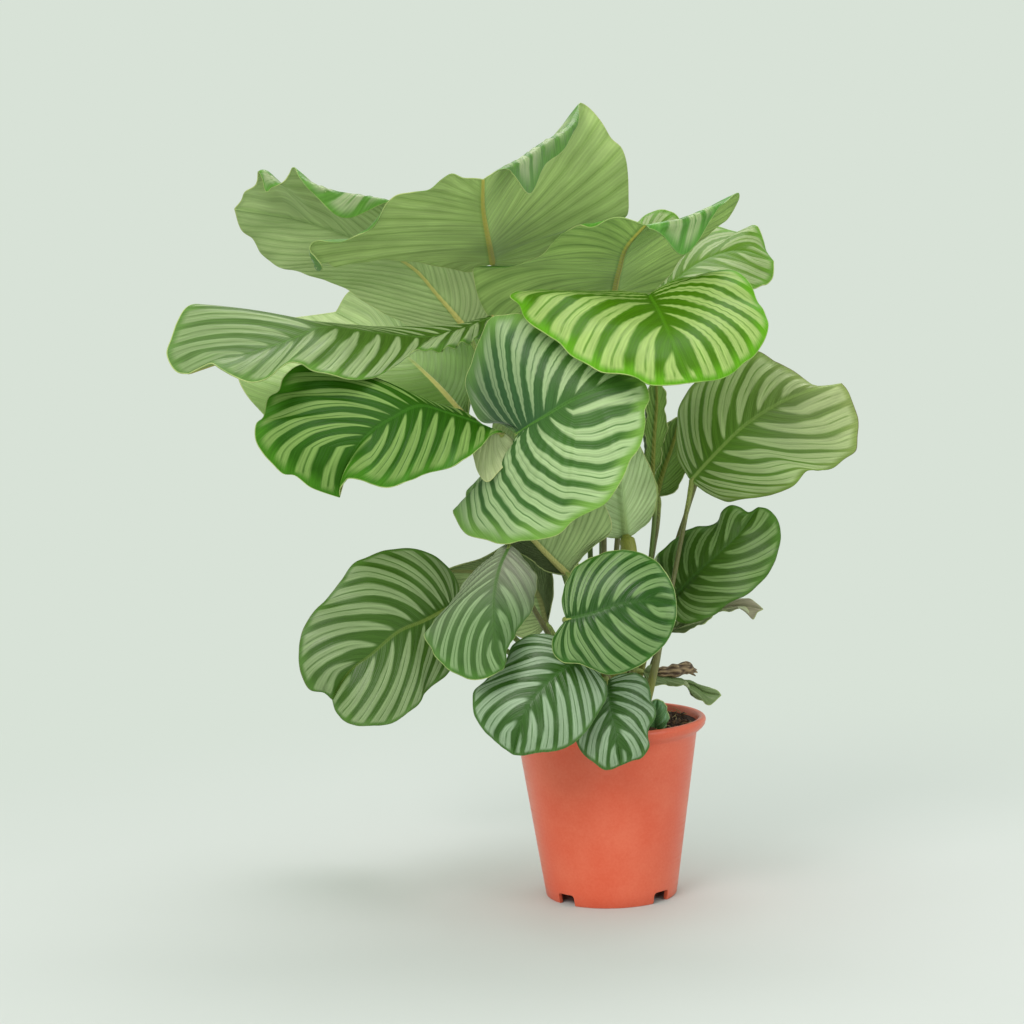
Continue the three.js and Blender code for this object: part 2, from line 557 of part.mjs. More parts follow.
/** Closed tapering rod along a curve, with a swollen joint at its top; extra widens it all over. */
function stemGeometry(curve, extra = 0) {
  const frames = curve.computeFrenetFrames(STEM_STEPS, false);
  const points = [];
  const faces = [];
  for (let i = 0; i <= STEM_STEPS; i++) {
    const u = i / STEM_STEPS;
    const centre = curve.getPointAt(u);
    if (extra > 0 && i === 0) centre.addScaledVector(frames.tangents[0], -extra);
    const slim = THREE.MathUtils.lerp(STEM_FOOT_RADIUS, STEM_TOP_RADIUS, Math.min(1, u * 1.3));
    const radius = extra + (i === STEM_STEPS ? JOINT_RADIUS : slim);
    for (let j = 0; j < STEM_SIDES; j++) {
      const angle = (2 * Math.PI * j) / STEM_SIDES;
      const point = centre.clone().addScaledVector(frames.normals[i], radius * Math.cos(angle));
      points.push(point.addScaledVector(frames.binormals[i], radius * Math.sin(angle)));
    }
  }
  for (let i = 0; i < STEM_STEPS; i++) {
    for (let j = 0; j < STEM_SIDES; j++) {
      const a = i * STEM_SIDES + j;
      const b = i * STEM_SIDES + ((j + 1) % STEM_SIDES);
      faces.push([a, b, b + STEM_SIDES], [a, b + STEM_SIDES, a + STEM_SIDES]);
    }
  }
  const last = STEM_STEPS * STEM_SIDES;
  for (let j = 1; j < STEM_SIDES - 1; j++) {
    faces.push([0, j + 1, j], [last, last + j, last + j + 1]);
  }
  return meshGeometry(points, faces);
}

// ---------------------------------------------------------------- cutting

const wasm = await Module();
wasm.setup();

/** Solid of a closed mesh, for cutting. */
function toSolid(geometry) {
  const bare = geometry.clone();
  bare.deleteAttribute('normal');
  bare.deleteAttribute('uv');
  const merged = BufferGeometryUtils.mergeVertices(bare, 1e-4);
  const vertProperties = new Float32Array(merged.attributes.position.array);
  const triVerts = new Uint32Array(merged.index.array);
  return new wasm.Manifold(new wasm.Mesh({ numProp: 3, vertProperties, triVerts }));
}

/** Mesh of a solid after cutting. */
function fromSolid(solid) {
  const mesh = solid.getMesh();
  const geometry = new THREE.BufferGeometry();
  geometry.setAttribute('position', new THREE.Float32BufferAttribute(mesh.vertProperties, 3));
  geometry.setIndex([...mesh.triVerts]);
  return geometry;
}

/** Round body from a profile of [radius, height] points that starts and ends on the axis. */
function lathe(profile, sides) {
  const outline = profile.map(([radius, height]) => new THREE.Vector2(radius, height));
  return new THREE.LatheGeometry(outline, sides).rotateX(Math.PI / 2);
}

// ---------------------------------------------------------------- pot

/** Outside radius of the pot's wall at a height below the lip. */
const wallRadius = (height) =>
  THREE.MathUtils.mapLinear(height, 0, POT_NECK_HEIGHT, POT_FOOT_RADIUS, POT_NECK_RADIUS);

/** Pot with a skirt below its raised floor, a middle foot and a rolled lip. */
function potGeometry() {
  const floorTop = FLOOR_HEIGHT + FLOOR_THICKNESS;
  const profile = [
    [0, 0],
    [BOSS_RADIUS, 0],
    [BOSS_RADIUS, FLOOR_HEIGHT],
    [wallRadius(FLOOR_HEIGHT) - 2 * POT_WALL, FLOOR_HEIGHT],
    [POT_FOOT_RADIUS - 2 * POT_WALL, 0],
    [POT_FOOT_RADIUS, 0],
    [POT_NECK_RADIUS, POT_NECK_HEIGHT],
    [POT_NECK_RADIUS + 1.6, POT_NECK_HEIGHT + 1.2],
    [POT_RIM_RADIUS - 0.8, POT_HEIGHT - 5.5],
    [POT_RIM_RADIUS, POT_HEIGHT - 3.4],
    [POT_RIM_RADIUS - 0.2, POT_HEIGHT - 1.4],
    [POT_RIM_RADIUS - 1.4, POT_HEIGHT - 0.2],
    [POT_RIM_RADIUS - 2.6, POT_HEIGHT],
    [POT_RIM_RADIUS - 3.8, POT_HEIGHT - 0.6],
    [POT_RIM_RADIUS - 4.8, POT_HEIGHT - 2.4],
    [POT_NECK_RADIUS - POT_WALL, POT_NECK_HEIGHT - 1],
    [wallRadius(floorTop) - POT_WALL, floorTop],
    [0, floorTop],
  ];
  let pot = toSolid(lathe(profile, POT_SIDES));
  for (let i = 0; i < NOTCH_COUNT; i++) {
    const angle = ((i + 0.5) / NOTCH_COUNT) * 2 * Math.PI;
    const outline = new THREE.Shape();
    const half = NOTCH_WIDTH / 2;
    outline.moveTo(-half, -1);
    outline.lineTo(half, -1);
    outline.lineTo(half, NOTCH_HEIGHT - 2);
    outline.quadraticCurveTo(half, NOTCH_HEIGHT, half - 2, NOTCH_HEIGHT);
    outline.lineTo(2 - half, NOTCH_HEIGHT);
    outline.quadraticCurveTo(-half, NOTCH_HEIGHT, -half, NOTCH_HEIGHT - 2);
    outline.closePath();
    const cutter = new THREE.ExtrudeGeometry(outline, { depth: 20, bevelEnabled: false, curveSegments: 2 });
    cutter.rotateX(Math.PI / 2).translate(0, POT_FOOT_RADIUS + 10, 0).rotateZ(angle);
    pot = pot.subtract(toSolid(cutter));
  }
  for (let i = 0; i < DRAIN_COUNT; i++) {
    const angle = (i / DRAIN_COUNT) * 2 * Math.PI;
    const drill = new THREE.CylinderGeometry(DRAIN_RADIUS, DRAIN_RADIUS, 10, 10).rotateX(Math.PI / 2);
    drill.translate(DRAIN_CIRCLE, 0, FLOOR_HEIGHT).rotateZ(angle);
    pot = pot.subtract(toSolid(drill));
  }
  return fromSolid(pot);
}

// ---------------------------------------------------------------- soil

/** Height of the soil's lumpy surface, highest in the middle. */
function soilHeight(x, y) {
  const out = Math.hypot(x, y) / POT_NECK_RADIUS;
  const lumps = Math.sin(0.31 * x + 1.3) * Math.cos(0.27 * y) + 0.6 * Math.sin(0.53 * y - 0.21 * x);
  return SOIL_EDGE + SOIL_CROWN * (1 - out * out) + SOIL_ROUGHNESS * lumps * (1 - out ** 6);
}

/** Soil body that fills the pot, with a plain hole round each stem. */
function soilGeometry(stems) {
  const floor = FLOOR_HEIGHT + FLOOR_THICKNESS + GAP;
  const facet = Math.cos(Math.PI / POT_SIDES);
  const inside = (height) => (wallRadius(height) - POT_WALL) * facet - GAP;
  const profile = [[0, floor], [inside(floor), floor], [inside(SOIL_EDGE), SOIL_EDGE]];
  for (let i = SOIL_RINGS - 1; i >= 0; i--) profile.push([(inside(SOIL_EDGE) * i) / SOIL_RINGS, SOIL_EDGE]);
  const body = lathe(profile, SOIL_SIDES);
  const position = body.attributes.position;
  for (let i = 0; i < position.count; i++) {
    if (position.getZ(i) < SOIL_EDGE - 1) continue;
    const x = position.getX(i);
    const y = position.getY(i);
    if (Math.hypot(x, y) < inside(SOIL_EDGE) - 1) position.setZ(i, soilHeight(x, y));
  }
  let soil = toSolid(body);
  const clearance = GAP / Math.cos(Math.PI / STEM_SIDES);
  for (const curve of stems) soil = soil.subtract(toSolid(stemGeometry(curve, clearance)));
  return fromSolid(soil);
}

// ---------------------------------------------------------------- assembly

/** Named mesh of one piece. */
function piece(name, geometry, material) {
  const mesh = new THREE.Mesh(geometry, material);
  mesh.name = name;
  return mesh;
}

const plant = new THREE.Group();
plant.name = 'potted_calathea';
const routes = Object.entries(LEAVES).map(([name, leaf]) => [name, stemCurve(leaf)]);
plant.add(piece('nursery_pot', potGeometry(), MATERIALS.pot));
plant.add(piece('potting_soil', soilGeometry(routes.map(([, curve]) => curve)), MATERIALS.soil));
for (const [name, curve] of routes) plant.add(piece(`stem_${name}`, stemGeometry(curve), MATERIALS.stem));
for (const [name, leaf] of Object.entries(LEAVES)) {
  plant.add(piece(`leaf_${name}`, bladeGeometry(leaf), MATERIALS.blade));
}

export default plant;
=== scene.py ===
"""A potted calathea: fine banded blades, stems, soil and pot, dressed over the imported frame."""

import logging
import math
from dataclasses import dataclass
from enum import Enum
from functools import reduce
from typing import Any, NamedTuple

import bpy
import numpy as np
from mathutils import Matrix, Vector

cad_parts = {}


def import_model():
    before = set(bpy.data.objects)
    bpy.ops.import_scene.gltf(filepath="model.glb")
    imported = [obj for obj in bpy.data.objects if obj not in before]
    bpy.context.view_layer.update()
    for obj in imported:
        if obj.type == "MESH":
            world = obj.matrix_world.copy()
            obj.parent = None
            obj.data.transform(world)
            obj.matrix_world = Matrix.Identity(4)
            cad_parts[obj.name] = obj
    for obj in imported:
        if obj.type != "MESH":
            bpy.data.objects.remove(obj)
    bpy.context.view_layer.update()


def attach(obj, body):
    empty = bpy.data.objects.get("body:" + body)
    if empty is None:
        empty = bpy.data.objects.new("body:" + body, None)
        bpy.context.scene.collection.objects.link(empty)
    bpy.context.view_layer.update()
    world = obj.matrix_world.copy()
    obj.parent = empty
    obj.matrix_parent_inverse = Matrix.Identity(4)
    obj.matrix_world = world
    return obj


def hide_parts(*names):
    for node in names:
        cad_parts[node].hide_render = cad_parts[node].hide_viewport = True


BODY = "root"
MM = 0.001
FULL = 2 * math.pi

log = logging.getLogger("calathea")

Point = tuple[float, float, float]
Faces = list[list[int]]


# ------------------------------------------------------------------ small helpers


def linear(code: str) -> tuple[float, float, float, float]:
    """Turns an sRGB hex colour into the linear one that a node takes.

    Args:
        code: The colour as "#rrggbb".

    Returns:
        Red, green, blue and alpha.
    """
    channels = [int(code[i : i + 2], 16) / 255 for i in (1, 3, 5)]
    red, green, blue = [c / 12.92 if c <= 0.04045 else ((c + 0.055) / 1.055) ** 2.4 for c in channels]
    return (red, green, blue, 1.0)


def unit(vectors: np.ndarray) -> np.ndarray:
    """Vectors brought to length one."""
    return vectors / np.maximum(np.linalg.norm(vectors, axis=-1, keepdims=True), 1e-9)


def ramp(values: np.ndarray, start: float, end: float) -> np.ndarray:
    """Smooth step from 0 at start to 1 at end."""
    x = np.clip((values - start) / (end - start), 0, 1)
    return x * x * (3 - 2 * x)


def bell(values: np.ndarray, middle: float, spread: float) -> np.ndarray:
    """Bell curve that is 1 in the middle."""
    return np.exp(-(((values - middle) / spread) ** 2))


def runs(points: np.ndarray) -> np.ndarray:
    """How far along a line each of its points lies."""
    return np.concatenate([[0.0], np.cumsum(np.linalg.norm(np.diff(points, axis=0), axis=1))])


def sampled(places: np.ndarray, run: np.ndarray, points: np.ndarray) -> np.ndarray:
    """Points at given places along a line whose points lie at run."""
    return np.stack([np.interp(places, run, points[:, k]) for k in range(3)], -1)


def circle(radius: float, sides: int) -> list[tuple[float, float]]:
    """Points round the origin."""
    turns = np.arange(sides) / sides * FULL
    return list(zip(radius * np.cos(turns), radius * np.sin(turns)))


def arc(middle: tuple[float, float], radius: float, start: float, end: float, steps: int) -> list:
    """Points on a round stretch of an outline.

    Args:
        middle: Its centre, in mm.
        radius: Its radius, in mm.
        start: The angle it starts at.
        end: The angle it ends at.
        steps: How many points.

    Returns:
        The points, in mm.
    """
    angles = np.linspace(start, end, steps)
    return [(middle[0] + radius * math.cos(a), middle[1] + radius * math.sin(a)) for a in angles]


def grid_faces(rows: int, columns: int, first: int = 0) -> Faces:
    """Quads between rows of points.

    Args:
        rows: Rows of points.
        columns: Points in a row.
        first: The number of the first point.

    Returns:
        Corner numbers of each face.
    """
    corners = [first + i * columns + j for i in range(rows - 1) for j in range(columns - 1)]
    return [[a, a + 1, a + columns + 1, a + columns] for a in corners]


def ring_faces(sides: int, rings: int) -> Faces:
    """Faces of a turned body, whose points run from the axis through its rings back to the axis.

    Args:
        sides: Points in a ring.
        rings: How many rings.

    Returns:
        Corner numbers of each face, outwards where the section runs from below.
    """
    pairs = [(k, (k + 1) % sides) for k in range(sides)]
    last = 1 + rings * sides
    faces = [[0, 1 + b, 1 + a] for a, b in pairs]
    for first in range(1, last - sides, sides):
        faces += [[first + a, first + b, first + sides + b, first + sides + a] for a, b in pairs]
    return faces + [[last, last - sides + a, last - sides + b] for a, b in pairs]


def turned_over(faces: Faces) -> Faces:
    """The same faces, looking the other way."""
    return [[face[0], *face[:0:-1]] for face in faces]


class Route:
    """Smooth curve through points, run by arc length."""

    STEPS = 64  # between two points

    def __init__(self, points: list[Point]) -> None:
        """Lays the curve.

        Args:
            points: Where it goes through, in mm.
        """
        knots = np.array(points, float)
        padded = np.vstack([2 * knots[0] - knots[1], knots, 2 * knots[-1] - knots[-2]])
        w = (np.arange(self.STEPS) / self.STEPS)[:, None]
        rows = []
        for i in range(len(knots) - 1):
            before, start, end, after = padded[i : i + 4]
            legs = (start - before, end - start, after - end)
            gaps = [max(float(np.linalg.norm(leg)) ** 0.5, 1e-4) for leg in legs]
            first = legs[0] / gaps[0] - (end - before) / (gaps[0] + gaps[1]) + legs[1] / gaps[1]
            last = legs[1] / gaps[1] - (after - start) / (gaps[1] + gaps[2]) + legs[2] / gaps[2]
            first, last = first * gaps[1], last * gaps[1]
            square = -3 * start + 3 * end - 2 * first - last
            cube = 2 * start - 2 * end + first + last
            rows.append(start + first * w + square * w**2 + cube * w**3)
        self.line = np.vstack([*rows, knots[-1:]])
        self.run = runs(self.line)

    def at(self, share: np.ndarray) -> np.ndarray:
        """Points at shares of the length, from 0 to 1."""
        return sampled(np.clip(share, 0, 1) * self.run[-1], self.run, self.line)

    def towards(self, share: np.ndarray) -> np.ndarray:
        """Directions that the curve takes at shares of its length."""
        return unit(self.at(share + 0.01) - self.at(share - 0.01))


def mesh_object(name: str, points: np.ndarray, faces: list, materials: list) -> bpy.types.Object:
    """Makes an object of points and faces.

    Args:
        name: Its name.
        points: Corner points in mm.
        faces: Corner numbers of each face, or of each edge where there are two.
        materials: Its material slots.

    Returns:
        The object, smooth shaded, in the scene.
    """
    mesh = bpy.data.meshes.new(name)
    edges = [f for f in faces if len(f) == 2]
    mesh.from_pydata((points * MM).tolist(), edges, [f for f in faces if len(f) > 2])
    mesh.shade_smooth()
    for material in materials:
        mesh.materials.append(material)
    piece = bpy.data.objects.new(name, mesh)
    bpy.context.scene.collection.objects.link(piece)
    return piece


def give_values(piece: bpy.types.Object, name: str, values: np.ndarray) -> None:
    """Stores a number for each point of a piece, which its material reads.

    Args:
        piece: The object.
        name: The attribute's name.
        values: One number for each point.
    """
    layer = piece.data.attributes.new(name, "FLOAT", "POINT")
    layer.data.foreach_set("value", np.ascontiguousarray(values, np.float32))


def settle(piece: bpy.types.Object, nodes: tuple[str, ...] = ()) -> None:
    """Puts a finished piece on the body.

    Args:
        piece: The object.
        nodes: The frame's nodes that it stands for.
    """
    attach(piece, BODY)
    if nodes:
        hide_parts(*nodes)
    log.info("%s: %d faces", piece.name, len(piece.data.polygons))


def make_plain(piece: bpy.types.Object) -> None:
    """Turns a piece and its modifiers into a plain mesh.

    Args:
        piece: The object, which keeps its name.
    """
    evaluated = piece.evaluated_get(bpy.context.evaluated_depsgraph_get())
    plain = bpy.data.meshes.new_from_object(evaluated)
    piece.modifiers.clear()
    old, piece.data = piece.data, plain
    bpy.data.meshes.remove(old)
    plain.name = piece.name


# ------------------------------------------------------------------ nodes


class Recipe(NamedTuple):
    """What a kind of node is: Blender's name, its settings, its output and its inputs in order."""

    name: str
    settings: dict[str, str] = {}
    out: int = 0
    inputs: tuple[int, ...] = (0, 1, 2, 3, 4)


class Kind(Enum):
    """The kinds of node that the trees are made of."""

    PLUS = Recipe("ShaderNodeMath", {"operation": "ADD"})
    MINUS = Recipe("ShaderNodeMath", {"operation": "SUBTRACT"})
    TIMES = Recipe("ShaderNodeMath", {"operation": "MULTIPLY"})
    TIMES_PLUS = Recipe("ShaderNodeMath", {"operation": "MULTIPLY_ADD"})
    POWER = Recipe("ShaderNodeMath", {"operation": "POWER"})
    LARGER = Recipe("ShaderNodeMath", {"operation": "MAXIMUM"})
    UNSIGNED = Recipe("ShaderNodeMath", {"operation": "ABSOLUTE"})
    ZIGZAG = Recipe("ShaderNodeMath", {"operation": "PINGPONG"})
    SINE = Recipe("ShaderNodeMath", {"operation": "SINE"})
    RANGE = Recipe("ShaderNodeMapRange")
    STEP = Recipe("ShaderNodeMapRange", {"interpolation_type": "SMOOTHSTEP"})
    MIX = Recipe("ShaderNodeMix", {"data_type": "RGBA"}, 2, (0, 6, 7))
    SHADE = Recipe("ShaderNodeMix", {"data_type": "RGBA", "blend_type": "MULTIPLY"}, 2, (0, 6, 7))
    VECTOR = Recipe("ShaderNodeCombineXYZ")
    VECTOR_MINUS = Recipe("ShaderNodeVectorMath", {"operation": "SUBTRACT"})
    VECTOR_SCALE = Recipe("ShaderNodeVectorMath", {"operation": "SCALE"})
    VECTOR_LENGTH = Recipe("ShaderNodeVectorMath", {"operation": "LENGTH"}, 1)
    NOISE = Recipe("ShaderNodeTexNoise")
    NOISE_VECTOR = Recipe("ShaderNodeTexNoise", {}, 1)
    STRETCH = Recipe("ShaderNodeMapping")
    OBJECT_PLACE = Recipe("ShaderNodeTexCoord", {}, 3)
    VALUE_OF = Recipe("ShaderNodeAttribute", {}, 2)
    BUMP = Recipe("ShaderNodeBump")
    PRINCIPLED = Recipe("ShaderNodeBsdfPrincipled")
    GLOW = Recipe("ShaderNodeEmission")
    MIX_SHADER = Recipe("ShaderNodeMixShader")
    SURFACE = Recipe("ShaderNodeOutputMaterial")
    SKY = Recipe("ShaderNodeBackground")
    WORLD = Recipe("ShaderNodeOutputWorld")
    REALIZE = Recipe("GeometryNodeRealizeInstances")
    SMOOTH = Recipe("GeometryNodeSetShadeSmooth")
    DRESS = Recipe("GeometryNodeSetMaterial")
    RESULT = Recipe("NodeGroupOutput")
    CURVE = Recipe("GeometryNodeMeshToCurve")
    RING = Recipe("GeometryNodeCurvePrimitiveCircle")
    BOW = Recipe("GeometryNodeCurveQuadraticBezier")
    TUBE = Recipe("GeometryNodeCurveToMesh")
    STORED = Recipe("GeometryNodeInputNamedAttribute")
    NORMAL = Recipe("GeometryNodeInputNormal")
    MOVE = Recipe("GeometryNodeSetPosition")
    SCATTER = Recipe("GeometryNodeDistributePointsOnFaces")
    BALL = Recipe("GeometryNodeMeshIcoSphere")
    PRISM = Recipe("GeometryNodeMeshCylinder")
    COPIES = Recipe("GeometryNodeInstanceOnPoints")
    ROTATION = Recipe("FunctionNodeEulerToRotation")
    RANDOM_VECTOR = Recipe("FunctionNodeRandomValue", {"data_type": "FLOAT_VECTOR"})
    RANDOM = Recipe("FunctionNodeRandomValue", {"data_type": "FLOAT"}, 1, (2, 3))


class Nodes:
    """A node tree under construction."""

    def __init__(self, tree: Any) -> None:
        """Takes up the tree."""
        self.tree = tree

    def add(self, kind: Kind, *values: Any, **named: Any) -> Any:
        """Adds one node with its settings and links.

        Args:
            kind: The kind of node.
            *values: What goes into its inputs in order: another node's output or a plain value.
            **named: The same by name, with _ for a space, or a setting, whose name is in lower case.

        Returns:
            The output that is wanted, or None where the node has none.
        """
        recipe = kind.value
        node = self.tree.nodes.new(recipe.name)
        links = dict(zip(recipe.inputs, values))
        links.update({key.replace("_", " "): value for key, value in named.items() if key[0].isupper()})
        settings = {key: value for key, value in named.items() if key[0].islower()}
        for key, value in {**recipe.settings, **settings}.items():
            setattr(node, key, value)
        for key, value in links.items():
            socket = node.inputs[key]
            if isinstance(value, bpy.types.NodeSocket):
                self.tree.links.new(value, socket)
            else:
                socket.default_value = value
        return node.outputs[recipe.out] if node.outputs else None

    def product(self, *factors: Any) -> Any:
        """Multiplies any number of sockets and values."""
        return reduce(lambda so_far, factor: self.add(Kind.TIMES, so_far, factor), factors)


class Growth(Nodes):
    """A geometry tree under construction, with named inputs for its sizes."""

    def __init__(self, name: str) -> None:
        """Opens the tree with its way in and its way out."""
        super().__init__(bpy.data.node_groups.new(name, "GeometryNodeTree"))
        for way in ("INPUT", "OUTPUT"):
            self.tree.interface.new_socket("Geometry", in_out=way, socket_type="NodeSocketGeometry")
        self.entry = self.tree.nodes.new("NodeGroupInput")
        self.given = self.entry.outputs["Geometry"]

    def size(self, name: str, kind: str = "Float") -> Any:
        """Adds a named input and hands back its socket inside the tree."""
        self.tree.interface.new_socket(name, in_out="INPUT", socket_type=f"NodeSocket{kind}")
        return self.entry.outputs[name]

    def close(self, result: Any, material: Any) -> None:
        """Ends the tree in real geometry with its material.

        Args:
            result: The geometry so far.
            material: The socket with the material.
        """
        smooth = self.add(Kind.SMOOTH, self.add(Kind.REALIZE, result))
        self.add(Kind.RESULT, self.add(Kind.DRESS, smooth, Material=material))

    def grow(self, piece: bpy.types.Object, **sizes: Any) -> None:
        """Runs the tree on a piece and leaves a plain mesh.

        Args:
            piece: The object that it starts from.
            **sizes: The inputs by name.
        """
        modifier = piece.modifiers.new(self.tree.name, "NODES")
        modifier.node_group = self.tree
        for socket in self.tree.interface.items_tree:
            if socket.in_out == "INPUT" and socket.name in sizes:
                modifier[socket.identifier] = sizes[socket.name]
        make_plain(piece)


class Paint(Nodes):
    """A material under construction."""

    def __init__(self, name: str) -> None:
        """Opens an empty node material."""
        self.material = bpy.data.materials.new(name)
        self.material.use_nodes = True
        super().__init__(self.material.node_tree)
        self.tree.nodes.clear()

    def grey(self, value: Any) -> Any:
        """A grey as light as a socket says."""
        return self.add(Kind.VECTOR, value, value, value)

    def close(self, colour: Any, rough: Any, relief: tuple, **constants: Any) -> bpy.types.Material:
        """Ends the material in one surface shader.

        Args:
            colour: The socket of its colour.
            rough: The socket or value of its roughness.
            relief: The socket of its relief, what one unit of it is in mm, and how strong it is.
            **constants: The shader's own settings by name, with _ for a space.

        Returns:
            The material.
        """
        height, depth, strength = relief
        normal = self.add(Kind.BUMP, Strength=strength, Distance=depth * MM, Height=height)
        looks = {"Base_Color": colour, "Roughness": rough, "Normal": normal}
        self.add(Kind.SURFACE, Surface=self.add(Kind.PRINCIPLED, **looks, **constants))
        return self.material


# ------------------------------------------------------------------ finishes


@dataclass(frozen=True)
class Tints:
    """Colours and finish of both faces of a blade."""

    band: str  # silver band of the upper face
    between: str  # deep green between two bands
    margin: str  # the green near the margin
    rib: str
    skin: str  # lower face
    shadow: str  # its painted shade in the creases and beside the midrib, also mixed in faintly behind the upper face's deep green
    under_rib: str
    fringe: float = 3.0  # how far from the margin the silver bands end, in mm
    roughness: float = 0.36
    gloss: float = 0.3
    aged: float = 0.0  # share of the tip's own colour
    rib_end: float = 1.3  # where the midrib has sunk into the lower face
    hem: str = "#a9ba74"  # thin line along the margin
    cast: str = "#2b4640"  # painted shade over the base of some halves; on the folded blade a pale grey
    tip: str = "#8d8468"


class BladePaint(Paint):
    """A blade's material under construction, with the pattern that follows its veins."""

    def __init__(self, name: str, relief: float, fringe: float) -> None:
        """Draws the bands that run along the veins.

        Args:
            name: The material's name.
            relief: How high the pleats between the veins stand, in mm.
            fringe: How far from the margin the bands end, in mm.
        """
        super().__init__(name)
        add = self.add
        names = ("phase", "vein", "span", "wide", "rib_mm", "edge_mm")
        phase, self.vein, span, wide, self.rib, self.edge = [
            add(Kind.VALUE_OF, attribute_name=name) for name in names
        ]
        out = add(Kind.UNSIGNED, span)
        place = add(Kind.OBJECT_PLACE)
        # Drift 25 mm across, so that no two bands are alike.
        drift = self.cloud = add(Kind.NOISE, Vector=place, Scale=40.0, Detail=1.0)
        moved = add(Kind.TIMES_PLUS, drift, 0.2, phase)
        apart = self.product(add(Kind.ZIGZAG, moved, 0.5), 2.0)
        # Strokes along the veins: about 1.5 mm across them and 30 mm along them.
        stroke = add(Kind.VECTOR, self.product(phase, 9.0), self.product(span, 3.0), drift)
        streak = self.streak = add(Kind.NOISE, Vector=stroke, Scale=1.0, Detail=3.0)
        opening = add(Kind.POWER, add(Kind.RANGE, out, 0.03, 0.36), 0.65)
        spread = add(Kind.TIMES_PLUS, out, 0.3, 0.84)
        uneven = add(Kind.TIMES_PLUS, streak, 0.24, -0.12)
        width = add(Kind.PLUS, self.product(opening, wide, spread), uneven)
        closing = add(Kind.TIMES_PLUS, drift, 1.2 * fringe, 0.5 * fringe)
        rim, start = add(Kind.STEP, self.edge, 0.8, closing), add(Kind.STEP, self.rib, 1.2, 4.5)
        inside = add(Kind.STEP, add(Kind.MINUS, width, apart), -0.12, 0.14)
        self.band = self.product(inside, rim, start)
        # One fine dark line in the middle of a band, and fainter ones halfway out.
        patchy = add(Kind.STEP, streak, 0.36, 0.56, 0.3, 1.0)
        halfway = add(Kind.UNSIGNED, add(Kind.MINUS, apart, 0.36))
        beside = add(Kind.STEP, halfway, 0.07, 0.02, 0.0, 0.5)
        faint = self.product(beside, add(Kind.STEP, streak, 0.5, 0.62), add(Kind.STEP, out, 0.4, 0.6))
        middle = self.product(add(Kind.STEP, apart, 0.13, 0.03), add(Kind.STEP, out, 0.16, 0.4), patchy)
        inner = add(Kind.STEP, self.edge, 0.4 * fringe, 1.5 * fringe)
        self.line = self.product(add(Kind.LARGER, middle, faint), inner)
        # Finest veins: about 1 mm apart.
        self.fine = add(Kind.SINE, self.product(moved, FULL * 9))
        # Pleats: two to a band, with a narrow crease between them.
        crest = self.product(add(Kind.ZIGZAG, moved, 0.25), 4.0)
        self.crease = add(Kind.STEP, crest, 0.55, 0.0)
        lifted = self.product(add(Kind.POWER, crest, 0.5), relief)
        ruffled = add(Kind.TIMES_PLUS, self.fine, 0.025, lifted)
        # Cell grain of the skin, 0.6 mm across: the real cells are finer than the picture shows.
        grain = add(Kind.NOISE, Vector=place, Scale=1600.0, Detail=2.0)
        rough = add(Kind.TIMES_PLUS, grain, 0.03, ruffled)
        # The veins crowd together at the tip, so the relief fades out there.
        self.height = self.product(rough, add(Kind.STEP, self.vein, 0.99, 0.9))

    def stroked(self, colour: Any, low: float, high: float) -> Any:
        """Breaks a colour up along the veins.

        Args:
            colour: The colour so far.
            low: How dark the darkest strokes are.
            high: How light the lightest strokes are.

        Returns:
            The colour's socket.
        """
        shade = self.add(Kind.RANGE, self.streak, 0.3, 0.7, low, high)
        tint = self.add(Kind.TIMES_PLUS, self.fine, 0.045, shade)
        return self.add(Kind.SHADE, 1.0, colour, self.grey(tint))

    def base_shade_painted(self, colour: Any, cast: str) -> Any:
        """Paints shade over the base of the halves that have it.

        Args:
            colour: The colour so far.
            cast: The colour of the painted shade.

        Returns:
            The colour's socket.
        """
        return self.add(Kind.MIX, self.add(Kind.VALUE_OF, attribute_name="cast"), colour, linear(cast))

    def hemmed(self, colour: Any, hem: str) -> Any:
        """Draws the thin line along the margin, stronger here and weaker there.

        Args:
            colour: The colour so far.
            hem: The line's colour.

        Returns:
            The colour's socket.
        """
        line = self.add(Kind.STEP, self.edge, 0.65, 0.25)
        share = self.add(Kind.RANGE, self.cloud, 0.35, 0.6, 0.25, 0.9)
        return self.add(Kind.MIX, self.product(line, share), colour, linear(hem))


@dataclass(frozen=True)
class UpperSkin:
    """Waxy upper skin of a living calathea blade: silver bands on deep green, with a soft gloss."""

    name: str
    tints: Tints

    def material(self) -> bpy.types.Material:
        """Builds the material."""
        tints = self.tints
        paint = BladePaint(self.name, relief=0.12, fringe=tints.fringe)
        add = paint.add
        # The deep green pales towards the margin.
        outer = add(Kind.STEP, paint.edge, 2.6 * tints.fringe, 0.3 * tints.fringe, 0.0, 0.85)
        ground = add(Kind.MIX, outer, linear(tints.between), linear(tints.margin))
        banded = add(Kind.MIX, paint.band, ground, linear(tints.band))
        lined = add(Kind.MIX, paint.product(paint.line, 0.8), banded, linear(tints.between))
        # The colour turns towards the tip, on an older blade to a brownish grey.
        turning = add(Kind.STEP, paint.vein, 0.45, 0.95, 0.0, tints.aged)
        turned = add(Kind.MIX, turning, lined, linear(tints.tip))
        # Painted shade over the base of some halves.
        stroked = paint.stroked(paint.base_shade_painted(turned, tints.cast), 0.84, 1.14)
        slim, along = add(Kind.STEP, paint.rib, 1.4, 0.6), add(Kind.STEP, paint.vein, 0.1, 0.8, 1.0, 0.35)
        ribbed = add(Kind.MIX, paint.product(slim, along), stroked, linear(tints.rib))
        dullest, glossiest = tints.roughness + 0.07, tints.roughness - 0.05
        rough = add(Kind.RANGE, paint.streak, 0.3, 0.7, glossiest, dullest)
        wax = {"IOR": 1.42, "Specular_IOR_Level": tints.gloss}
        return paint.close(paint.hemmed(ribbed, tints.hem), rough, (paint.height, 1.0, 1.0), **wax)


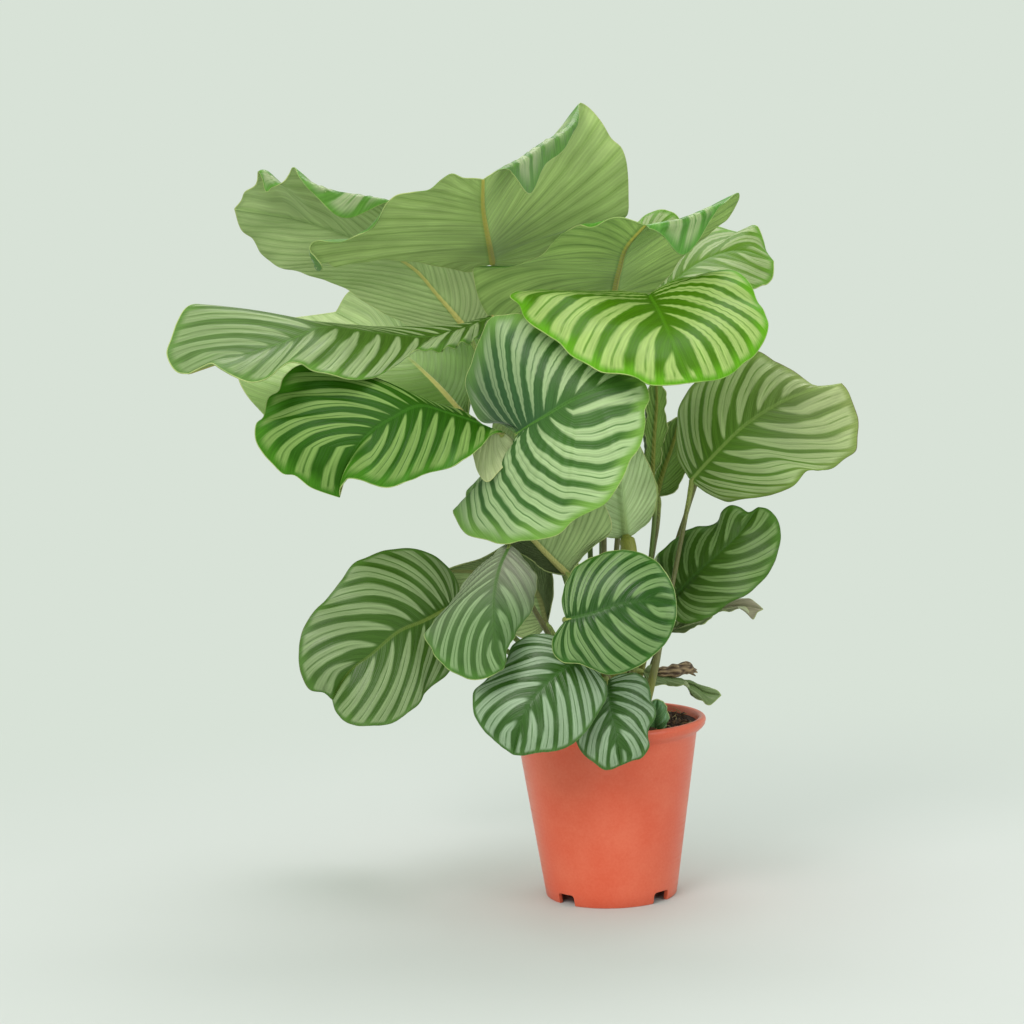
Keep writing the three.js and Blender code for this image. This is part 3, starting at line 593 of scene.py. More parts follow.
@dataclass(frozen=True)
class UnderSkin:
    """Matt underside of a living calathea blade: paler green, with pleats and a thick ochre midrib."""

    name: str
    tints: Tints
    fringe: float = 3.0
    hem: str = "#b7bf80"
    roughness: float = 0.55

    def material(self) -> bpy.types.Material:
        """Builds the material."""
        tints = self.tints
        paint = BladePaint(self.name, relief=0.45, fringe=self.fringe)
        add = paint.add
        skin, shadow, rib = linear(tints.skin), linear(tints.shadow), linear(tints.under_rib)
        # The bands of the upper face show through faintly, and the light comes and goes in soft patches.
        mixed = add(Kind.MIX, add(Kind.TIMES_PLUS, paint.band, -0.16, 0.2), skin, shadow)
        # Painted shade darkens the creases between the pleats, in patches.
        crease_shade = paint.product(paint.crease, add(Kind.STEP, paint.streak, 0.35, 0.65, 0.14, 0.4))
        creased = add(Kind.MIX, crease_shade, paint.base_shade_painted(mixed, tints.cast), shadow)
        cloudy = paint.grey(add(Kind.STEP, paint.cloud, 0.3, 0.7, 0.92, 1.08))
        patched = add(Kind.SHADE, 1.0, paint.stroked(creased, 0.88, 1.13), cloudy)
        # The midrib, 4 mm wide at the base and 2 mm at the tip, with a shadow beside it.
        off = add(Kind.MINUS, paint.rib, add(Kind.RANGE, paint.vein, 0.0, 1.0, 2.1, 1.0))
        beside = add(Kind.MIX, add(Kind.STEP, off, 2.0, 0.3, 0.0, 0.35), patched, shadow)
        sunk = add(Kind.STEP, paint.vein, tints.rib_end, tints.rib_end - 0.25)
        ribbed = add(Kind.MIX, paint.product(sunk, add(Kind.STEP, off, 0.3, -0.3)), beside, rib)
        matt = {"IOR": 1.42, "Specular_IOR_Level": 0.3}
        return paint.close(paint.hemmed(ribbed, self.hem), self.roughness, (paint.height, 1.0, 1.0), **matt)


@dataclass(frozen=True)
class DriedSkin:
    """Withered calathea tissue: papery brown and buff, with painted shade in its folds and painted light on
    its raised wrinkles.
    """

    name: str
    dark: str
    light: str

    def material(self) -> bpy.types.Material:
        """Builds the material."""
        paint = Paint(self.name)
        # Wrinkles 1.5 mm apart that run along the scroll.
        drawn = paint.add(Kind.STRETCH, Vector=paint.add(Kind.OBJECT_PLACE), Scale=(160.0, 420.0, 700.0))
        wrinkle = paint.add(Kind.NOISE, Vector=drawn, Scale=1.0, Detail=3.0)
        # The colour follows the wrinkles' height: painted shade down in them, painted light on their crests.
        share = paint.add(Kind.STEP, wrinkle, 0.36, 0.66)
        colour = paint.add(Kind.MIX, share, linear(self.dark), linear(self.light))
        return paint.close(colour, 0.6, (wrinkle, 0.5, 1.0), IOR=1.45)


@dataclass(frozen=True)
class StemSkin:
    """Skin of a calathea's leaf stalk: a pale sheath at the foot, brownish green above, faintly ridged."""

    name: str
    sheath: str
    stalk: str
    joint: str

    def material(self) -> bpy.types.Material:
        """Builds the material."""
        paint = Paint(self.name)
        add = paint.add
        along = add(Kind.VALUE_OF, attribute_name="along")
        # Ridges run up the stalk, 0.8 mm apart, so the noise is drawn out 12 times in height.
        drawn = add(Kind.STRETCH, Vector=add(Kind.OBJECT_PLACE), Scale=(1200.0, 1200.0, 90.0))
        streak = add(Kind.NOISE, Vector=drawn, Scale=1.0, Detail=2.0)
        uneven = add(Kind.TIMES_PLUS, streak, 0.2, along)
        lower = add(Kind.MIX, add(Kind.STEP, uneven, 0.36, 0.5), linear(self.sheath), linear(self.stalk))
        whole = add(Kind.MIX, add(Kind.STEP, uneven, 0.92, 1.06), lower, linear(self.joint))
        shade = paint.grey(add(Kind.RANGE, streak, 0.3, 0.7, 0.78, 1.18))
        colour = add(Kind.SHADE, 1.0, whole, shade)
        return paint.close(colour, 0.5, (streak, 0.15, 0.6), IOR=1.45)


@dataclass(frozen=True)
class MouldedPolypropylene:
    """Injection-moulded polypropylene: an even orange with a satin sheen from the mould's fine texture."""

    name: str
    body: str
    worn: str

    def material(self) -> bpy.types.Material:
        """Builds the material."""
        paint = Paint(self.name)
        add = paint.add
        place = add(Kind.OBJECT_PLACE)
        # Clouding 30 mm across, where the colour batch isn't quite mixed.
        cloud = add(Kind.NOISE, Vector=place, Scale=33.0, Detail=3.0)
        # Flecks 1.5 mm across in the skin.
        fleck = add(Kind.NOISE, Vector=place, Scale=650.0, Detail=2.0)
        share = add(Kind.RANGE, add(Kind.TIMES_PLUS, fleck, 0.5, cloud), 0.55, 0.98)
        colour = add(Kind.MIX, share, linear(self.body), linear(self.worn))
        # Scuffs from handling, drawn out round the pot.
        round_it = add(Kind.STRETCH, Vector=place, Scale=(40.0, 40.0, 900.0))
        scuff = add(Kind.NOISE, Vector=round_it, Scale=1.0, Detail=4.0)
        rough = add(Kind.RANGE, scuff, 0.3, 0.75, 0.3, 0.42)
        # Spark-eroded mould texture, 0.5 mm across.
        texture = add(Kind.NOISE, Vector=place, Scale=2000.0, Detail=1.0)
        return paint.close(colour, rough, (texture, 0.05, 0.5), IOR=1.49)


@dataclass(frozen=True)
class PottingMix:
    """Damp peat and bark: dark, matt and crumbly, with lighter flecks."""

    name: str
    dark: str
    light: str
    scale: float
    roughness: float = 0.92

    def material(self) -> bpy.types.Material:
        """Builds the material."""
        paint = Paint(self.name)
        # Crumbs at the scale of the piece, from 1 to 4 mm.
        grit = {"Scale": self.scale, "Detail": 5.0, "Roughness": 0.65}
        lumps = paint.add(Kind.NOISE, Vector=paint.add(Kind.OBJECT_PLACE), **grit)
        share = paint.add(Kind.STEP, lumps, 0.36, 0.7)
        colour = paint.add(Kind.MIX, share, linear(self.dark), linear(self.light))
        return paint.close(colour, self.roughness, (lumps, 0.8, 0.9), IOR=1.4)


# Lower faces that several looks share: the skin, its creases and the midrib.
FRESH_UNDER = ("#93ad6a", "#66863f", "#a0a058")
GREY_UNDER = ("#7b8d62", "#556a40", "#90924e")


class Look(Enum):
    """How a blade looks, by its age and by how the light reaches it."""

    CROWN = Tints("#8ea270", "#4f7c30", "#4f7d2c", "#7c9a4a", "#aac478", "#6f9039", "#b8b052", 14.0)
    YOUNG = Tints(
        "#92a577", "#4c7a2c", "#568a30", "#86a355", "#a7bd80", "#6d8f47", "#c0bd6c", 9.0,
        rib_end=0.7, cast="#5c8232",
    )
    SHADED_UNDER = Tints(
        "#8ea66e", "#457628", "#4f8a2c", "#7a9a45", "#a2c26c", "#386616", "#a4a44a", 12.0
    )
    SUNLIT = Tints(
        "#93b060", "#426f0a", "#5a9a18", "#538a18", "#9db76c", "#6b9040", "#a3a054", 6.0, gloss=0.12
    )
    FRESH = Tints("#889e66", "#52781e", "#5c8a2c", "#5c8634", *FRESH_UNDER, 4.0, gloss=0.2)
    STREAKED = Tints("#92a874", "#41641b", "#56852a", "#588432", *FRESH_UNDER, 4.0, aged=0.6, tip="#53703a")
    DEEP = Tints("#72934a", "#265305", "#3f7716", "#3c701c", "#a6b482", "#84965f", "#98985c", 6.0, gloss=0.14)
    SILVER = Tints("#9fbb82", "#3b6423", "#75a342", "#4f8030", *FRESH_UNDER, 7.0, gloss=0.22)
    OLIVE = Tints("#a9c080", "#5a822a", "#7c9a44", "#93b05a", *FRESH_UNDER, 5.0, aged=0.3, hem="#6f6a45")
    DARK = Tints("#6f8d50", "#385a14", "#456f20", "#3f6622", "#7e9a5e", "#516c38", "#90924e", hem="#4f6233")
    LEAFY = Tints("#768d5d", "#345514", "#466c25", "#667c34", *FRESH_UNDER, hem="#5c6a3c")
    FOLDED = Tints(
        "#7a9865", "#3d6028", "#4a782c", "#44682a", "#8b9a70", "#5f6f44", "#90924e", cast="#a09a90"
    )
    GLOSSY = Tints("#6d8c54", "#204a08", "#34641c", "#376020", *GREY_UNDER, 2.5, 0.28, 0.35)
    GREYED = Tints("#88a27f", "#30561a", "#426a2a", "#3a6226", *GREY_UNDER, 2.5, 0.28, 0.4, hem="#55733c")
    SPROUTING = Tints("#7fa583", "#4d7a44", "#588350", "#4f7c46", *GREY_UNDER, 2.5, 0.25, 0.5)
    WILTED = Tints("#84956a", "#647c48", "#6f8454", "#6b7e4e", "#9aa97c", "#77885a", "#8c8c60")
    PAPERY = Tints(
        "#8c9a6a", "#4a5f2c", "#4f6234", "#8c906e", "#bcc4a0", "#8b906c", "#90855f",
        aged=0.85, tip="#979079",
    )
    UNDER_PALE = Tints(
        "#97b27b", "#4c7435", "#5f8a3c", "#6c9040", "#9fb978", "#405f22", "#b3b46c", cast="#2f3c1c"
    )
    PALE_BACK = Tints(
        "#97b27b", "#4c7435", "#5f8a3c", "#6c9040", "#c3dda0", "#86a662", "#94ad6c", rib_end=0.5
    )
    UNDER_DARK = Tints(
        "#6d8858", "#34541f", "#456b25", "#56752e", "#a6bf7e", "#56743e", "#838c54", cast="#2c3a1a"
    )
    # Inner blades deep in the plant: darker copies, with painted shade in their colours.
    INNER = Tints("#5c7a3a", "#2a450f", "#3a5a18", "#566f24", "#749545", "#294a09", "#7c8438")

    def materials(self) -> list[bpy.types.Material]:
        """Builds the upper and the under skin once, and hands them back after that."""
        made = []
        for face, skin in (("upper", UpperSkin), ("under", UnderSkin)):
            name = f"calathea_blade_{self.name.lower()}_{face}"
            made.append(bpy.data.materials.get(name) or skin(name, self.value).material())
        return made


# ------------------------------------------------------------------ leaves


class Side(Enum):
    """The half of a blade, seen from above with the tip up."""

    LEFT = -1
    RIGHT = 1


@dataclass(frozen=True)
class Fan:
    """How the veins of one half spread from the midrib to the margin."""

    bands: float = 9
    start: float = 0.8  # share of the midrib that they leave from
    gather: float = 2.4  # how strongly they crowd towards its base
    lobe: float = 1.2  # how few of them end in the lobe beside the base
    bend: float = 1.1  # how late they turn to the tip
    wide: float = 0.62  # share of the half that is silver
    base: float = 1.0  # how wide the bands at the base are against the others
    cast: float = 0.0  # how strongly shade is painted over its base
    fade: float = 0.75  # where along the blade the painted shade ends


@dataclass(frozen=True)
class Roll:
    """A stretch of margin that folds over towards the underside."""

    side: Side
    at: float  # share of the margin where it is widest
    spread: float
    hem: float  # how wide, in mm
    fall: Point = (0, -0.05, -1)  # where the flap hangs


@dataclass(frozen=True)
class Ruffle:
    """A stretch of margin with small waves."""

    side: Side
    at: float
    spread: float
    height: float  # in mm
    count: float  # waves in a whole margin


@dataclass(frozen=True)
class Leaf:
    """One leaf in mm: midrib from base to tip, the margin of both halves, and the stem's route."""

    name: str
    look: Look
    midrib: list[Point]
    left: list[Point]
    right: list[Point]
    root: tuple[float, float]
    lean: tuple[float, float] = (0, 0)
    aim: Point | None = None
    reach: float = 0.18
    sheath: float = 0.55  # how much wider the stalk is in its sheath
    sheath_end: float = 0.44
    arch: tuple[float, float] = (6, 6)
    rolls: tuple[Roll, ...] = ()
    ruffles: tuple[Ruffle, ...] = ()
    small: bool = False
    left_fan: Fan = Fan()
    right_fan: Fan = Fan()


LEAVES = [
    Leaf(
        "crown",
        Look.CROWN,
        [(-63, 45, 407), (-65, -25, 418), (-67, -75, 432), (-66, -130, 445)],
        [
            (-55, 62, 401), (-44, 66, 396), (-32, 64, 399), (-24, 60, 408), (-13, 57, 419), (-2, 55, 430),
            (8, 50, 431), (19, 46, 432), (25, 42, 434), (26, 34, 448), (25, 26, 460), (21, 14, 476),
            (15, 10, 481), (8, 2, 491), (1, -2, 498), (-5, -6, 500), (-14, -25, 487), (-27, -48, 476),
            (-43, -82, 462), (-56, -110, 453),
        ],
        [
            (-72, 44, 404), (-78, 42, 402), (-97, 28, 406), (-122, 10, 408), (-143, -8, 409),
            (-156, -20, 407), (-161, -27, 405), (-166, -33, 408), (-170, -38, 405), (-172, -45, 412),
            (-170, -52, 418), (-160, -58, 418), (-150, -65, 419), (-137, -74, 423), (-126, -84, 431),
            (-121, -92, 437), (-116, -96, 441), (-108, -101, 442), (-98, -106, 443), (-90, -112, 448),
            (-84, -116, 450), (-78, -120, 447), (-71, -126, 446),
        ],
        root=(-3.6, 3.3), lean=(0, -0.15), arch=(4, 6),
        rolls=(
            Roll(Side.LEFT, at=0.865, spread=0.05, hem=18, fall=(0.1, -0.05, -1)),
            Roll(Side.LEFT, at=0.76, spread=0.12, hem=15, fall=(0.25, -0.05, -1)),
            Roll(Side.LEFT, at=0.1, spread=0.08, hem=5),
            Roll(Side.RIGHT, at=0.49, spread=0.03, hem=13, fall=(0.6, -0.2, -0.5)),
            Roll(Side.RIGHT, at=0.7, spread=0.06, hem=5),
        ),
        left_fan=Fan(14, 0.95, 1.5, 1.28), right_fan=Fan(14, 0.95, 1.5, 0.96),
    ),
    Leaf(
        "back_left",
        Look.YOUNG,
        [(-80, 74, 362), (-99, 74, 387), (-117, 68, 408), (-176, 52, 436), (-229, 34, 447)],
        [
            (-66, 74, 373), (-64, 64, 395), (-81, 50, 414), (-103, 30, 432), (-126, 14, 446),
            (-139, 8, 449), (-158, 3, 453), (-173, 0, 459), (-181, 1, 464), (-186, 3, 469), (-190, 6, 464),
            (-195, 9, 459), (-199, 10, 462), (-204, 12, 468), (-209, 15, 468), (-213, 20, 461),
            (-221, 27, 457), (-224, 31, 452),
        ],
        [
            (-107, 88, 362), (-128, 95, 373), (-144, 97, 383), (-163, 93, 395), (-177, 86, 402),
            (-192, 78, 408), (-207, 72, 411), (-216, 66, 419), (-221, 58, 430), (-227, 48, 435),
        ],
        root=(-10.8, 3.3), lean=(0.1, 0),
        rolls=(
            Roll(Side.LEFT, at=0.61, spread=0.08, hem=19),
            Roll(Side.LEFT, at=0.835, spread=0.025, hem=15),
        ),
        left_fan=Fan(12), right_fan=Fan(12),
    ),
    Leaf(
        "upper_right",
        Look.SHADED_UNDER,
        [(14, 30, 382), (16, -15, 397), (19, -50, 409), (29, -76, 420)],
        [
            (27, 38, 378), (41, 28, 387), (51, 18, 396), (62, 2, 409), (71, -8, 418), (84, -20, 426),
            (89, -28, 433), (89, -36, 441), (78, -46, 435), (63, -58, 428), (50, -66, 424), (39, -72, 422),
        ],
        [
            (-10, 38, 384), (-30, 38, 374), (-47, 34, 368), (-58, 28, 368), (-67, 20, 373), (-72, 10, 382),
            (-75, 0, 392), (-75, -8, 401), (-67, -14, 401), (-55, -20, 402), (-43, -26, 404),
            (-33, -31, 407),
            (-25, -37, 414), (-19, -43, 419), (-10, -50, 423), (3, -62, 424), (15, -72, 425),
        ],
        root=(0, -3),
        rolls=(
            Roll(Side.LEFT, at=0.87, spread=0.09, hem=25, fall=(-0.1, -0.05, -1)),
            Roll(Side.RIGHT, at=0.87, spread=0.05, hem=5),
        ),
        left_fan=Fan(11, 0.95, 1.5, 1.4), right_fan=Fan(13, 0.95, 1.5, 0.73),
    ),
    Leaf(
        "front_right",
        Look.SUNLIT,
        [(32, -45, 380), (37, -76, 365), (41, -106, 348), (48, -125, 326)],
        [
            (40, -43, 384), (51, -40, 389), (64, -38, 392), (78, -38, 394), (88, -42, 390), (93, -48, 385),
            (96, -56, 376), (99, -66, 367), (100, -76, 357), (96, -86, 349), (90, -93, 342),
            (81, -101, 335), (72, -109, 329), (59, -118, 327),
        ],
        [
            (3, -36, 384), (-22, -42, 383), (-41, -52, 385), (-50, -66, 384), (-53, -73, 381),
            (-48, -80, 374), (-45, -88, 367), (-40, -95, 362), (-32, -101, 358), (-26, -107, 353),
            (-20, -113, 345), (-11, -119, 338), (-3, -123, 334), (8, -124, 333), (17, -127, 331),
            (25, -129, 326), (35, -128, 325),
        ],
        root=(7.2, -15.6), arch=(8, 8),
        left_fan=Fan(9, 0.63, 3.2, 1.5, 0.8), right_fan=Fan(9, 0.85, 4.0, 1.5, 0.8),
    ),
    Leaf(
        "right_back",
        Look.FRESH,
        [(42, 40, 380), (73, 55, 404), (100, 60, 411), (122, 58, 403)],
        [
            (53, 70, 404), (69, 82, 418), (81, 86, 426), (91, 86, 428), (99, 84, 426), (104, 82, 425),
            (109, 80, 428), (114, 77, 427), (117, 72, 418), (119, 67, 410),
        ],
        [(63, 25, 379), (90, 30, 383), (112, 42, 386), (120, 50, 392)],
        root=(3.6, 3.3), small=True,
    ),
    Leaf(
        "back_right",
        Look.FRESH,
        [(28, 85, 382), (44, 112, 408), (58, 125, 425), (74, 130, 427)],
        [(25, 110, 409), (38, 130, 437), (50, 135, 445), (64, 136, 442)],
        [(53, 100, 388), (79, 115, 407), (86, 125, 419)],
        root=(0, 9.6), small=True,
    ),
    Leaf(
        "left_long",
        Look.STREAKED,
        [
            (-63, -30, 371), (-87, -40, 362), (-102, -45, 359), (-132, -58, 362), (-165, -70, 366),
            (-184, -78, 359), (-206, -86, 352), (-227, -93, 346), (-243, -95, 341),
        ],
        [
            (-70, -38, 359), (-77, -46, 355), (-87, -53, 354), (-94, -57, 351), (-101, -61, 350),
            (-109, -65, 350), (-116, -70, 346), (-130, -84, 338), (-144, -94, 334), (-157, -99, 336),
            (-169, -101, 340), (-176, -102, 345), (-183, -103, 346), (-189, -105, 343), (-196, -107, 336),
            (-204, -108, 334), (-215, -108, 338), (-222, -107, 343), (-228, -104, 347), (-234, -100, 345),
        ],
        [
            (-78, -12, 368), (-103, -15, 362), (-134, -20, 365), (-165, -25, 369), (-186, -31, 371),
            (-207, -38, 374), (-227, -45, 378), (-243, -52, 382), (-249, -56, 380), (-253, -62, 374),
            (-256, -70, 364), (-258, -79, 355), (-255, -86, 347), (-250, -91, 342),
        ],
        root=(-7.2, -3), lean=(-0.15, 0), arch=(6, 3),
        ruffles=(Ruffle(Side.LEFT, at=0.15, spread=0.13, height=2.0, count=21),),
        left_fan=Fan(15, 0.9, 1.3, 1.0), right_fan=Fan(17, 0.85, 1.6, 1.0, wide=0.66),
    ),
    Leaf(
        "left_back",
        Look.YOUNG,
        [(-83, 50, 306), (-108, 78, 334), (-139, 112, 361), (-174, 130, 382)],
        [
            (-82, 56, 319), (-75, 80, 337), (-71, 105, 355), (-83, 116, 371), (-112, 132, 390),
            (-143, 140, 400),
            (-164, 136, 396),
        ],
        [
            (-113, 42, 303), (-141, 44, 303), (-167, 45, 303), (-205, 50, 303), (-219, 56, 315),
            (-235, 68, 335),
            (-234, 94, 354), (-208, 118, 376),
        ],
        root=(-14.4, 9.6), lean=(0.2, 0),
        # Painted shade over the lower part of both halves.
        left_fan=Fan(12, cast=1.0, fade=1.0), right_fan=Fan(12, cast=1.0, fade=0.9),
    ),
    Leaf(
        "left",
        Look.DEEP,
        [
            (-60, -80, 300), (-73, -80, 306), (-91, -84, 313), (-108, -90, 318), (-123, -95, 312),
            (-139, -97, 302), (-149, -95, 289), (-158, -85, 265),
        ],
        [
            (-63, -90, 300), (-67, -93, 299), (-73, -96, 293), (-79, -98, 288), (-85, -99, 284),
            (-91, -99, 281),
            (-96, -99, 280), (-103, -100, 279), (-116, -104, 274), (-128, -106, 271), (-137, -104, 273),
            (-146, -100, 276), (-152, -96, 276), (-157, -90, 271),
        ],
        [
            (-56, -76, 297), (-53, -78, 290), (-57, -80, 283), (-63, -81, 277), (-70, -81, 271),
            (-75, -79, 276),
            (-79, -74, 290), (-83, -66, 304), (-90, -60, 313), (-97, -58, 316), (-112, -59, 320),
            (-124, -62, 324),
            (-142, -66, 333), (-162, -69, 342), (-180, -72, 345), (-190, -73, 337), (-193, -74, 329),
            (-199, -75, 325), (-202, -78, 313), (-206, -80, 310), (-207, -82, 301), (-203, -84, 293),
            (-197, -86, 286), (-191, -87, 280), (-184, -88, 279), (-175, -88, 272), (-166, -87, 268),
        ],
        root=(-10.8, -9.3), lean=(0.12, 0), aim=(-0.1, -1, -0.1), reach=0.3,
        left_fan=Fan(9, 0.65, 1.2, 1.0), right_fan=Fan(19, 0.75, 1.3, 1.0, wide=0.5),
    ),
    Leaf(
        "centre",
        Look.SILVER,
        [(-52, -76, 299), (-35, -90, 309), (-17, -98, 319), (4, -103, 326), (23, -105, 328)],
        [
            (-62, -54, 305), (-74, -48, 307), (-79, -46, 317), (-81, -48, 329), (-77, -55, 343),
            (-71, -63, 360), (-64, -67, 369), (-56, -69, 370), (-46, -70, 370), (-24, -74, 360),
            (0, -82, 346), (15, -92, 335),
        ],
        [
            (-57, -64, 284), (-64, -60, 276), (-69, -60, 269), (-76, -54, 266), (-82, -51, 265),
            (-83, -52, 260),
            (-81, -55, 255), (-86, -56, 254), (-91, -58, 253), (-90, -61, 248), (-88, -64, 243),
            (-84, -68, 239),
            (-72, -76, 236), (-65, -82, 234), (-58, -88, 234), (-51, -93, 236), (-40, -99, 237),
            (-30, -104, 240), (-21, -108, 248), (-11, -111, 253), (-1, -113, 258), (6, -114, 267),
            (10, -115, 275), (13, -114, 282), (19, -113, 290), (23, -111, 304), (23, -110, 311),
            (26, -108, 317), (25, -106, 324),
        ],
        root=(-3.6, -9.3),
        # Both halves carry painted shade over their base, the left half more.
        left_fan=Fan(12, 0.85, 2.8, 1.5, 0.8, base=0.45, cast=0.45),
        right_fan=Fan(12, 0.5, 3.8, 1.5, cast=0.2),
    ),
    Leaf(
        "right",
        Look.OLIVE,
        [(59, 10, 263), (76, -2, 282), (93, -8, 298), (114, -14, 311), (133, -15, 318), (153, -15, 322)],
        [
            (52, 29, 280), (52, 31, 292), (55, 31, 307), (60, 28, 319), (68, 22, 329), (83, 14, 339),
            (98, 8, 344), (104, 5, 344), (114, 0, 337), (125, -5, 330), (131, -7, 325), (140, -10, 320),
            (147, -12, 320),
        ],
        [
            (70, 15, 254), (81, 8, 249), (92, 0, 251), (104, -6, 252), (116, -12, 256), (123, -15, 260),
            (130, -17, 268), (138, -18, 268), (145, -19, 269), (153, -21, 275), (160, -22, 280),
            (161, -22, 288), (162, -21, 299), (159, -19, 310), (156, -17, 318),
        ],
        root=(14.4, -3), lean=(0.2, -1.4), aim=(0.25, 0.5, 1),
        left_fan=Fan(10, 0.85, 2.0, wide=0.7), right_fan=Fan(10, 0.7, 2.5, wide=0.7),
    ),
    Leaf(
        "right_low",
        Look.DARK,
        [(46, -5, 190), (56, -11, 202), (71, -17, 216), (85, -20, 229), (99, -15, 246)],
        [
            (38, 0, 197), (36, 5, 213), (43, 6, 222), (52, 5, 230), (61, 2, 233), (72, -4, 236),
            (77, -7, 243), (82, -9, 247), (88, -11, 246), (93, -13, 243),
        ],
        [
            (43, -9, 184), (44, -13, 177), (51, -16, 174), (58, -19, 175), (67, -23, 179),
            (78, -28, 188), (88, -30, 192),
            (97, -31, 200), (105, -31, 210), (110, -29, 222), (111, -26, 232), (109, -22, 240),
            (104, -18, 245),
        ],
        root=(18, -9.3), small=True,
        left_fan=Fan(9, wide=0.52), right_fan=Fan(9, wide=0.52),
    ),
    Leaf(
        "right_small",
        Look.PAPERY,
        [(42, 14, 165), (63, 18, 172), (87, 22, 180), (105, 22, 177)],
        [(58, 26, 178), (77, 26, 181), (90, 26, 183), (98, 25, 183)],
        [(56, 12, 166), (75, 16, 176), (86, 19, 178), (94, 20, 178), (98, 20, 171), (101, 21, 175)],
        root=(20.5, 3.3), small=True,
        left_fan=Fan(5, wide=0.4), right_fan=Fan(5, wide=0.4),
    ),
    Leaf(
        "left_low",
        Look.LEAFY,
        [
            (-93, -60, 196), (-111, -70, 188), (-126, -78, 183), (-142, -86, 171), (-156, -88, 161),
            (-167, -85, 144),
        ],
        [
            (-91, -66, 175), (-95, -72, 161), (-99, -76, 155), (-107, -82, 150), (-112, -87, 146),
            (-115, -91, 141), (-122, -95, 136), (-131, -98, 131), (-141, -99, 130), (-152, -98, 130),
            (-160, -95, 133), (-165, -90, 138),
        ],
        [
            (-90, -50, 205), (-94, -46, 215), (-100, -45, 221), (-110, -45, 227), (-122, -47, 230),
            (-134, -50, 230), (-146, -56, 226), (-154, -60, 222), (-161, -66, 213), (-170, -72, 203),
            (-178, -77, 195), (-184, -82, 184), (-186, -86, 172), (-185, -88, 161), (-180, -88, 151),
            (-172, -87, 149),
        ],
        root=(-18, -9.3),
        left_fan=Fan(10), right_fan=Fan(10),
    ),
    Leaf(
        "folded",
        Look.FOLDED,
        [
            (-58, -82, 233), (-64, -92, 222), (-68, -102, 207), (-69, -107, 190), (-68, -107, 174),
            (-64, -104, 162),
        ],
        [
            (-52, -74, 227), (-46, -73, 219), (-43, -74, 210), (-44, -79, 199), (-49, -86, 190),
            (-56, -92, 181), (-62, -97, 173), (-62, -101, 168),
        ],
        [
            (-64, -79, 231), (-73, -79, 221), (-82, -80, 214), (-92, -84, 203), (-101, -88, 191),
            (-110, -91, 182), (-107, -94, 174), (-101, -97, 166), (-93, -100, 160), (-84, -102, 156),
            (-77, -104, 156), (-70, -105, 159),
        ],
        root=(-14.4, -15.6), aim=(0, -0.3, 0.95),
        ruffles=(Ruffle(Side.RIGHT, at=0.6, spread=0.3, height=1.0, count=11),),
        left_fan=Fan(7, wide=0.68, cast=0.5), right_fan=Fan(13, wide=0.5, cast=0.3),
    ),
    Leaf(
        "behind_folded",
        Look.UNDER_DARK,
        [(-36, -8, 175), (-43, -14, 198), (-65, -20, 209), (-100, -30, 214)],
        [(-32, -10, 194), (-34, -12, 217), (-52, -15, 230), (-77, -22, 220), (-91, -28, 217)],
        [(-47, -14, 167), (-66, -18, 177), (-84, -22, 194), (-96, -28, 205)],
        root=(-16.9, -3), small=True,
        # Painted shade over the left half.
        left_fan=Fan(12, cast=0.6, fade=1.4), right_fan=Fan(12),
    ),
    Leaf(
        "low_round",
        Look.GLOSSY,
        [(-26, -105, 190), (-10, -111, 194), (5, -114, 199), (22, -115, 201), (38, -112, 198)],
        [
            (-28, -98, 198), (-27, -95, 208), (-22, -94, 216), (-14, -94, 223), (-3, -97, 228),
            (8, -100, 229), (18, -103, 228), (27, -106, 223), (33, -108, 215), (37, -110, 207),
        ],
        [
            (-31, -102, 184), (-35, -100, 177), (-34, -101, 170), (-29, -104, 165), (-20, -108, 164),
            (-12, -111, 161), (-3, -113, 158), (6, -114, 159), (16, -115, 163), (24, -115, 169),
            (32, -115, 177), (37, -114, 188),
        ],
        root=(0, -15.6), lean=(0.5, 0), aim=(0.3, -1, 0), reach=0.3,
    ),
    Leaf(
        "pot_left",
        Look.GREYED,
        [(-16, -86, 165), (-31, -92, 157), (-43, -97, 147), (-53, -99, 134), (-60, -94, 109)],
        [
            (-8, -83, 156), (-3, -86, 148), (-4, -90, 140), (-9, -95, 132), (-16, -99, 123),
            (-24, -101, 116), (-33, -101, 112), (-45, -100, 111), (-54, -98, 109),
        ],
        [
            (-23, -83, 172), (-35, -82, 178), (-48, -80, 178), (-58, -78, 173), (-64, -80, 161),
            (-74, -81, 153), (-82, -83, 147), (-83, -86, 139), (-81, -89, 130), (-76, -91, 122),
            (-68, -93, 115),
        ],
        root=(-6.1, -21.9),
    ),
    Leaf(
        "pot_right",
        Look.GREYED,
        [(-2, -72, 148), (-1, -79, 134), (2, -84, 118), (4, -82, 98)],
        [
            (7, -67, 151), (17, -66, 151), (23, -66, 144), (25, -68, 135), (27, -70, 127), (22, -74, 117),
            (22, -77, 109), (17, -79, 102), (10, -81, 100),
        ],
        [
            (-8, -71, 144), (-13, -74, 135), (-19, -79, 123), (-22, -82, 114), (-18, -84, 106),
            (-12, -85, 101), (-5, -85, 96),
        ],
        root=(3.6, -21.9), small=True,
        left_fan=Fan(8), right_fan=Fan(8),
    ),
    Leaf(
        "sprout",
        Look.SPROUTING,
        [(29, -38, 108), (28, -41, 116), (29, -43, 124), (30, -42, 131)],
        [(25, -38, 114), (23, -40, 120), (24, -42, 127), (27, -42, 130)],
        [(34, -37, 112), (37, -38, 118), (36, -40, 124), (34, -42, 129)],
        root=(33, -34), small=True,
        left_fan=Fan(4, wide=0.12), right_fan=Fan(4, wide=0.12),
    ),
    Leaf(
        "behind_centre",
        Look.PALE_BACK,
        [(15, -15, 229), (13, -20, 254), (11, -30, 282), (6, -45, 311)],
        [
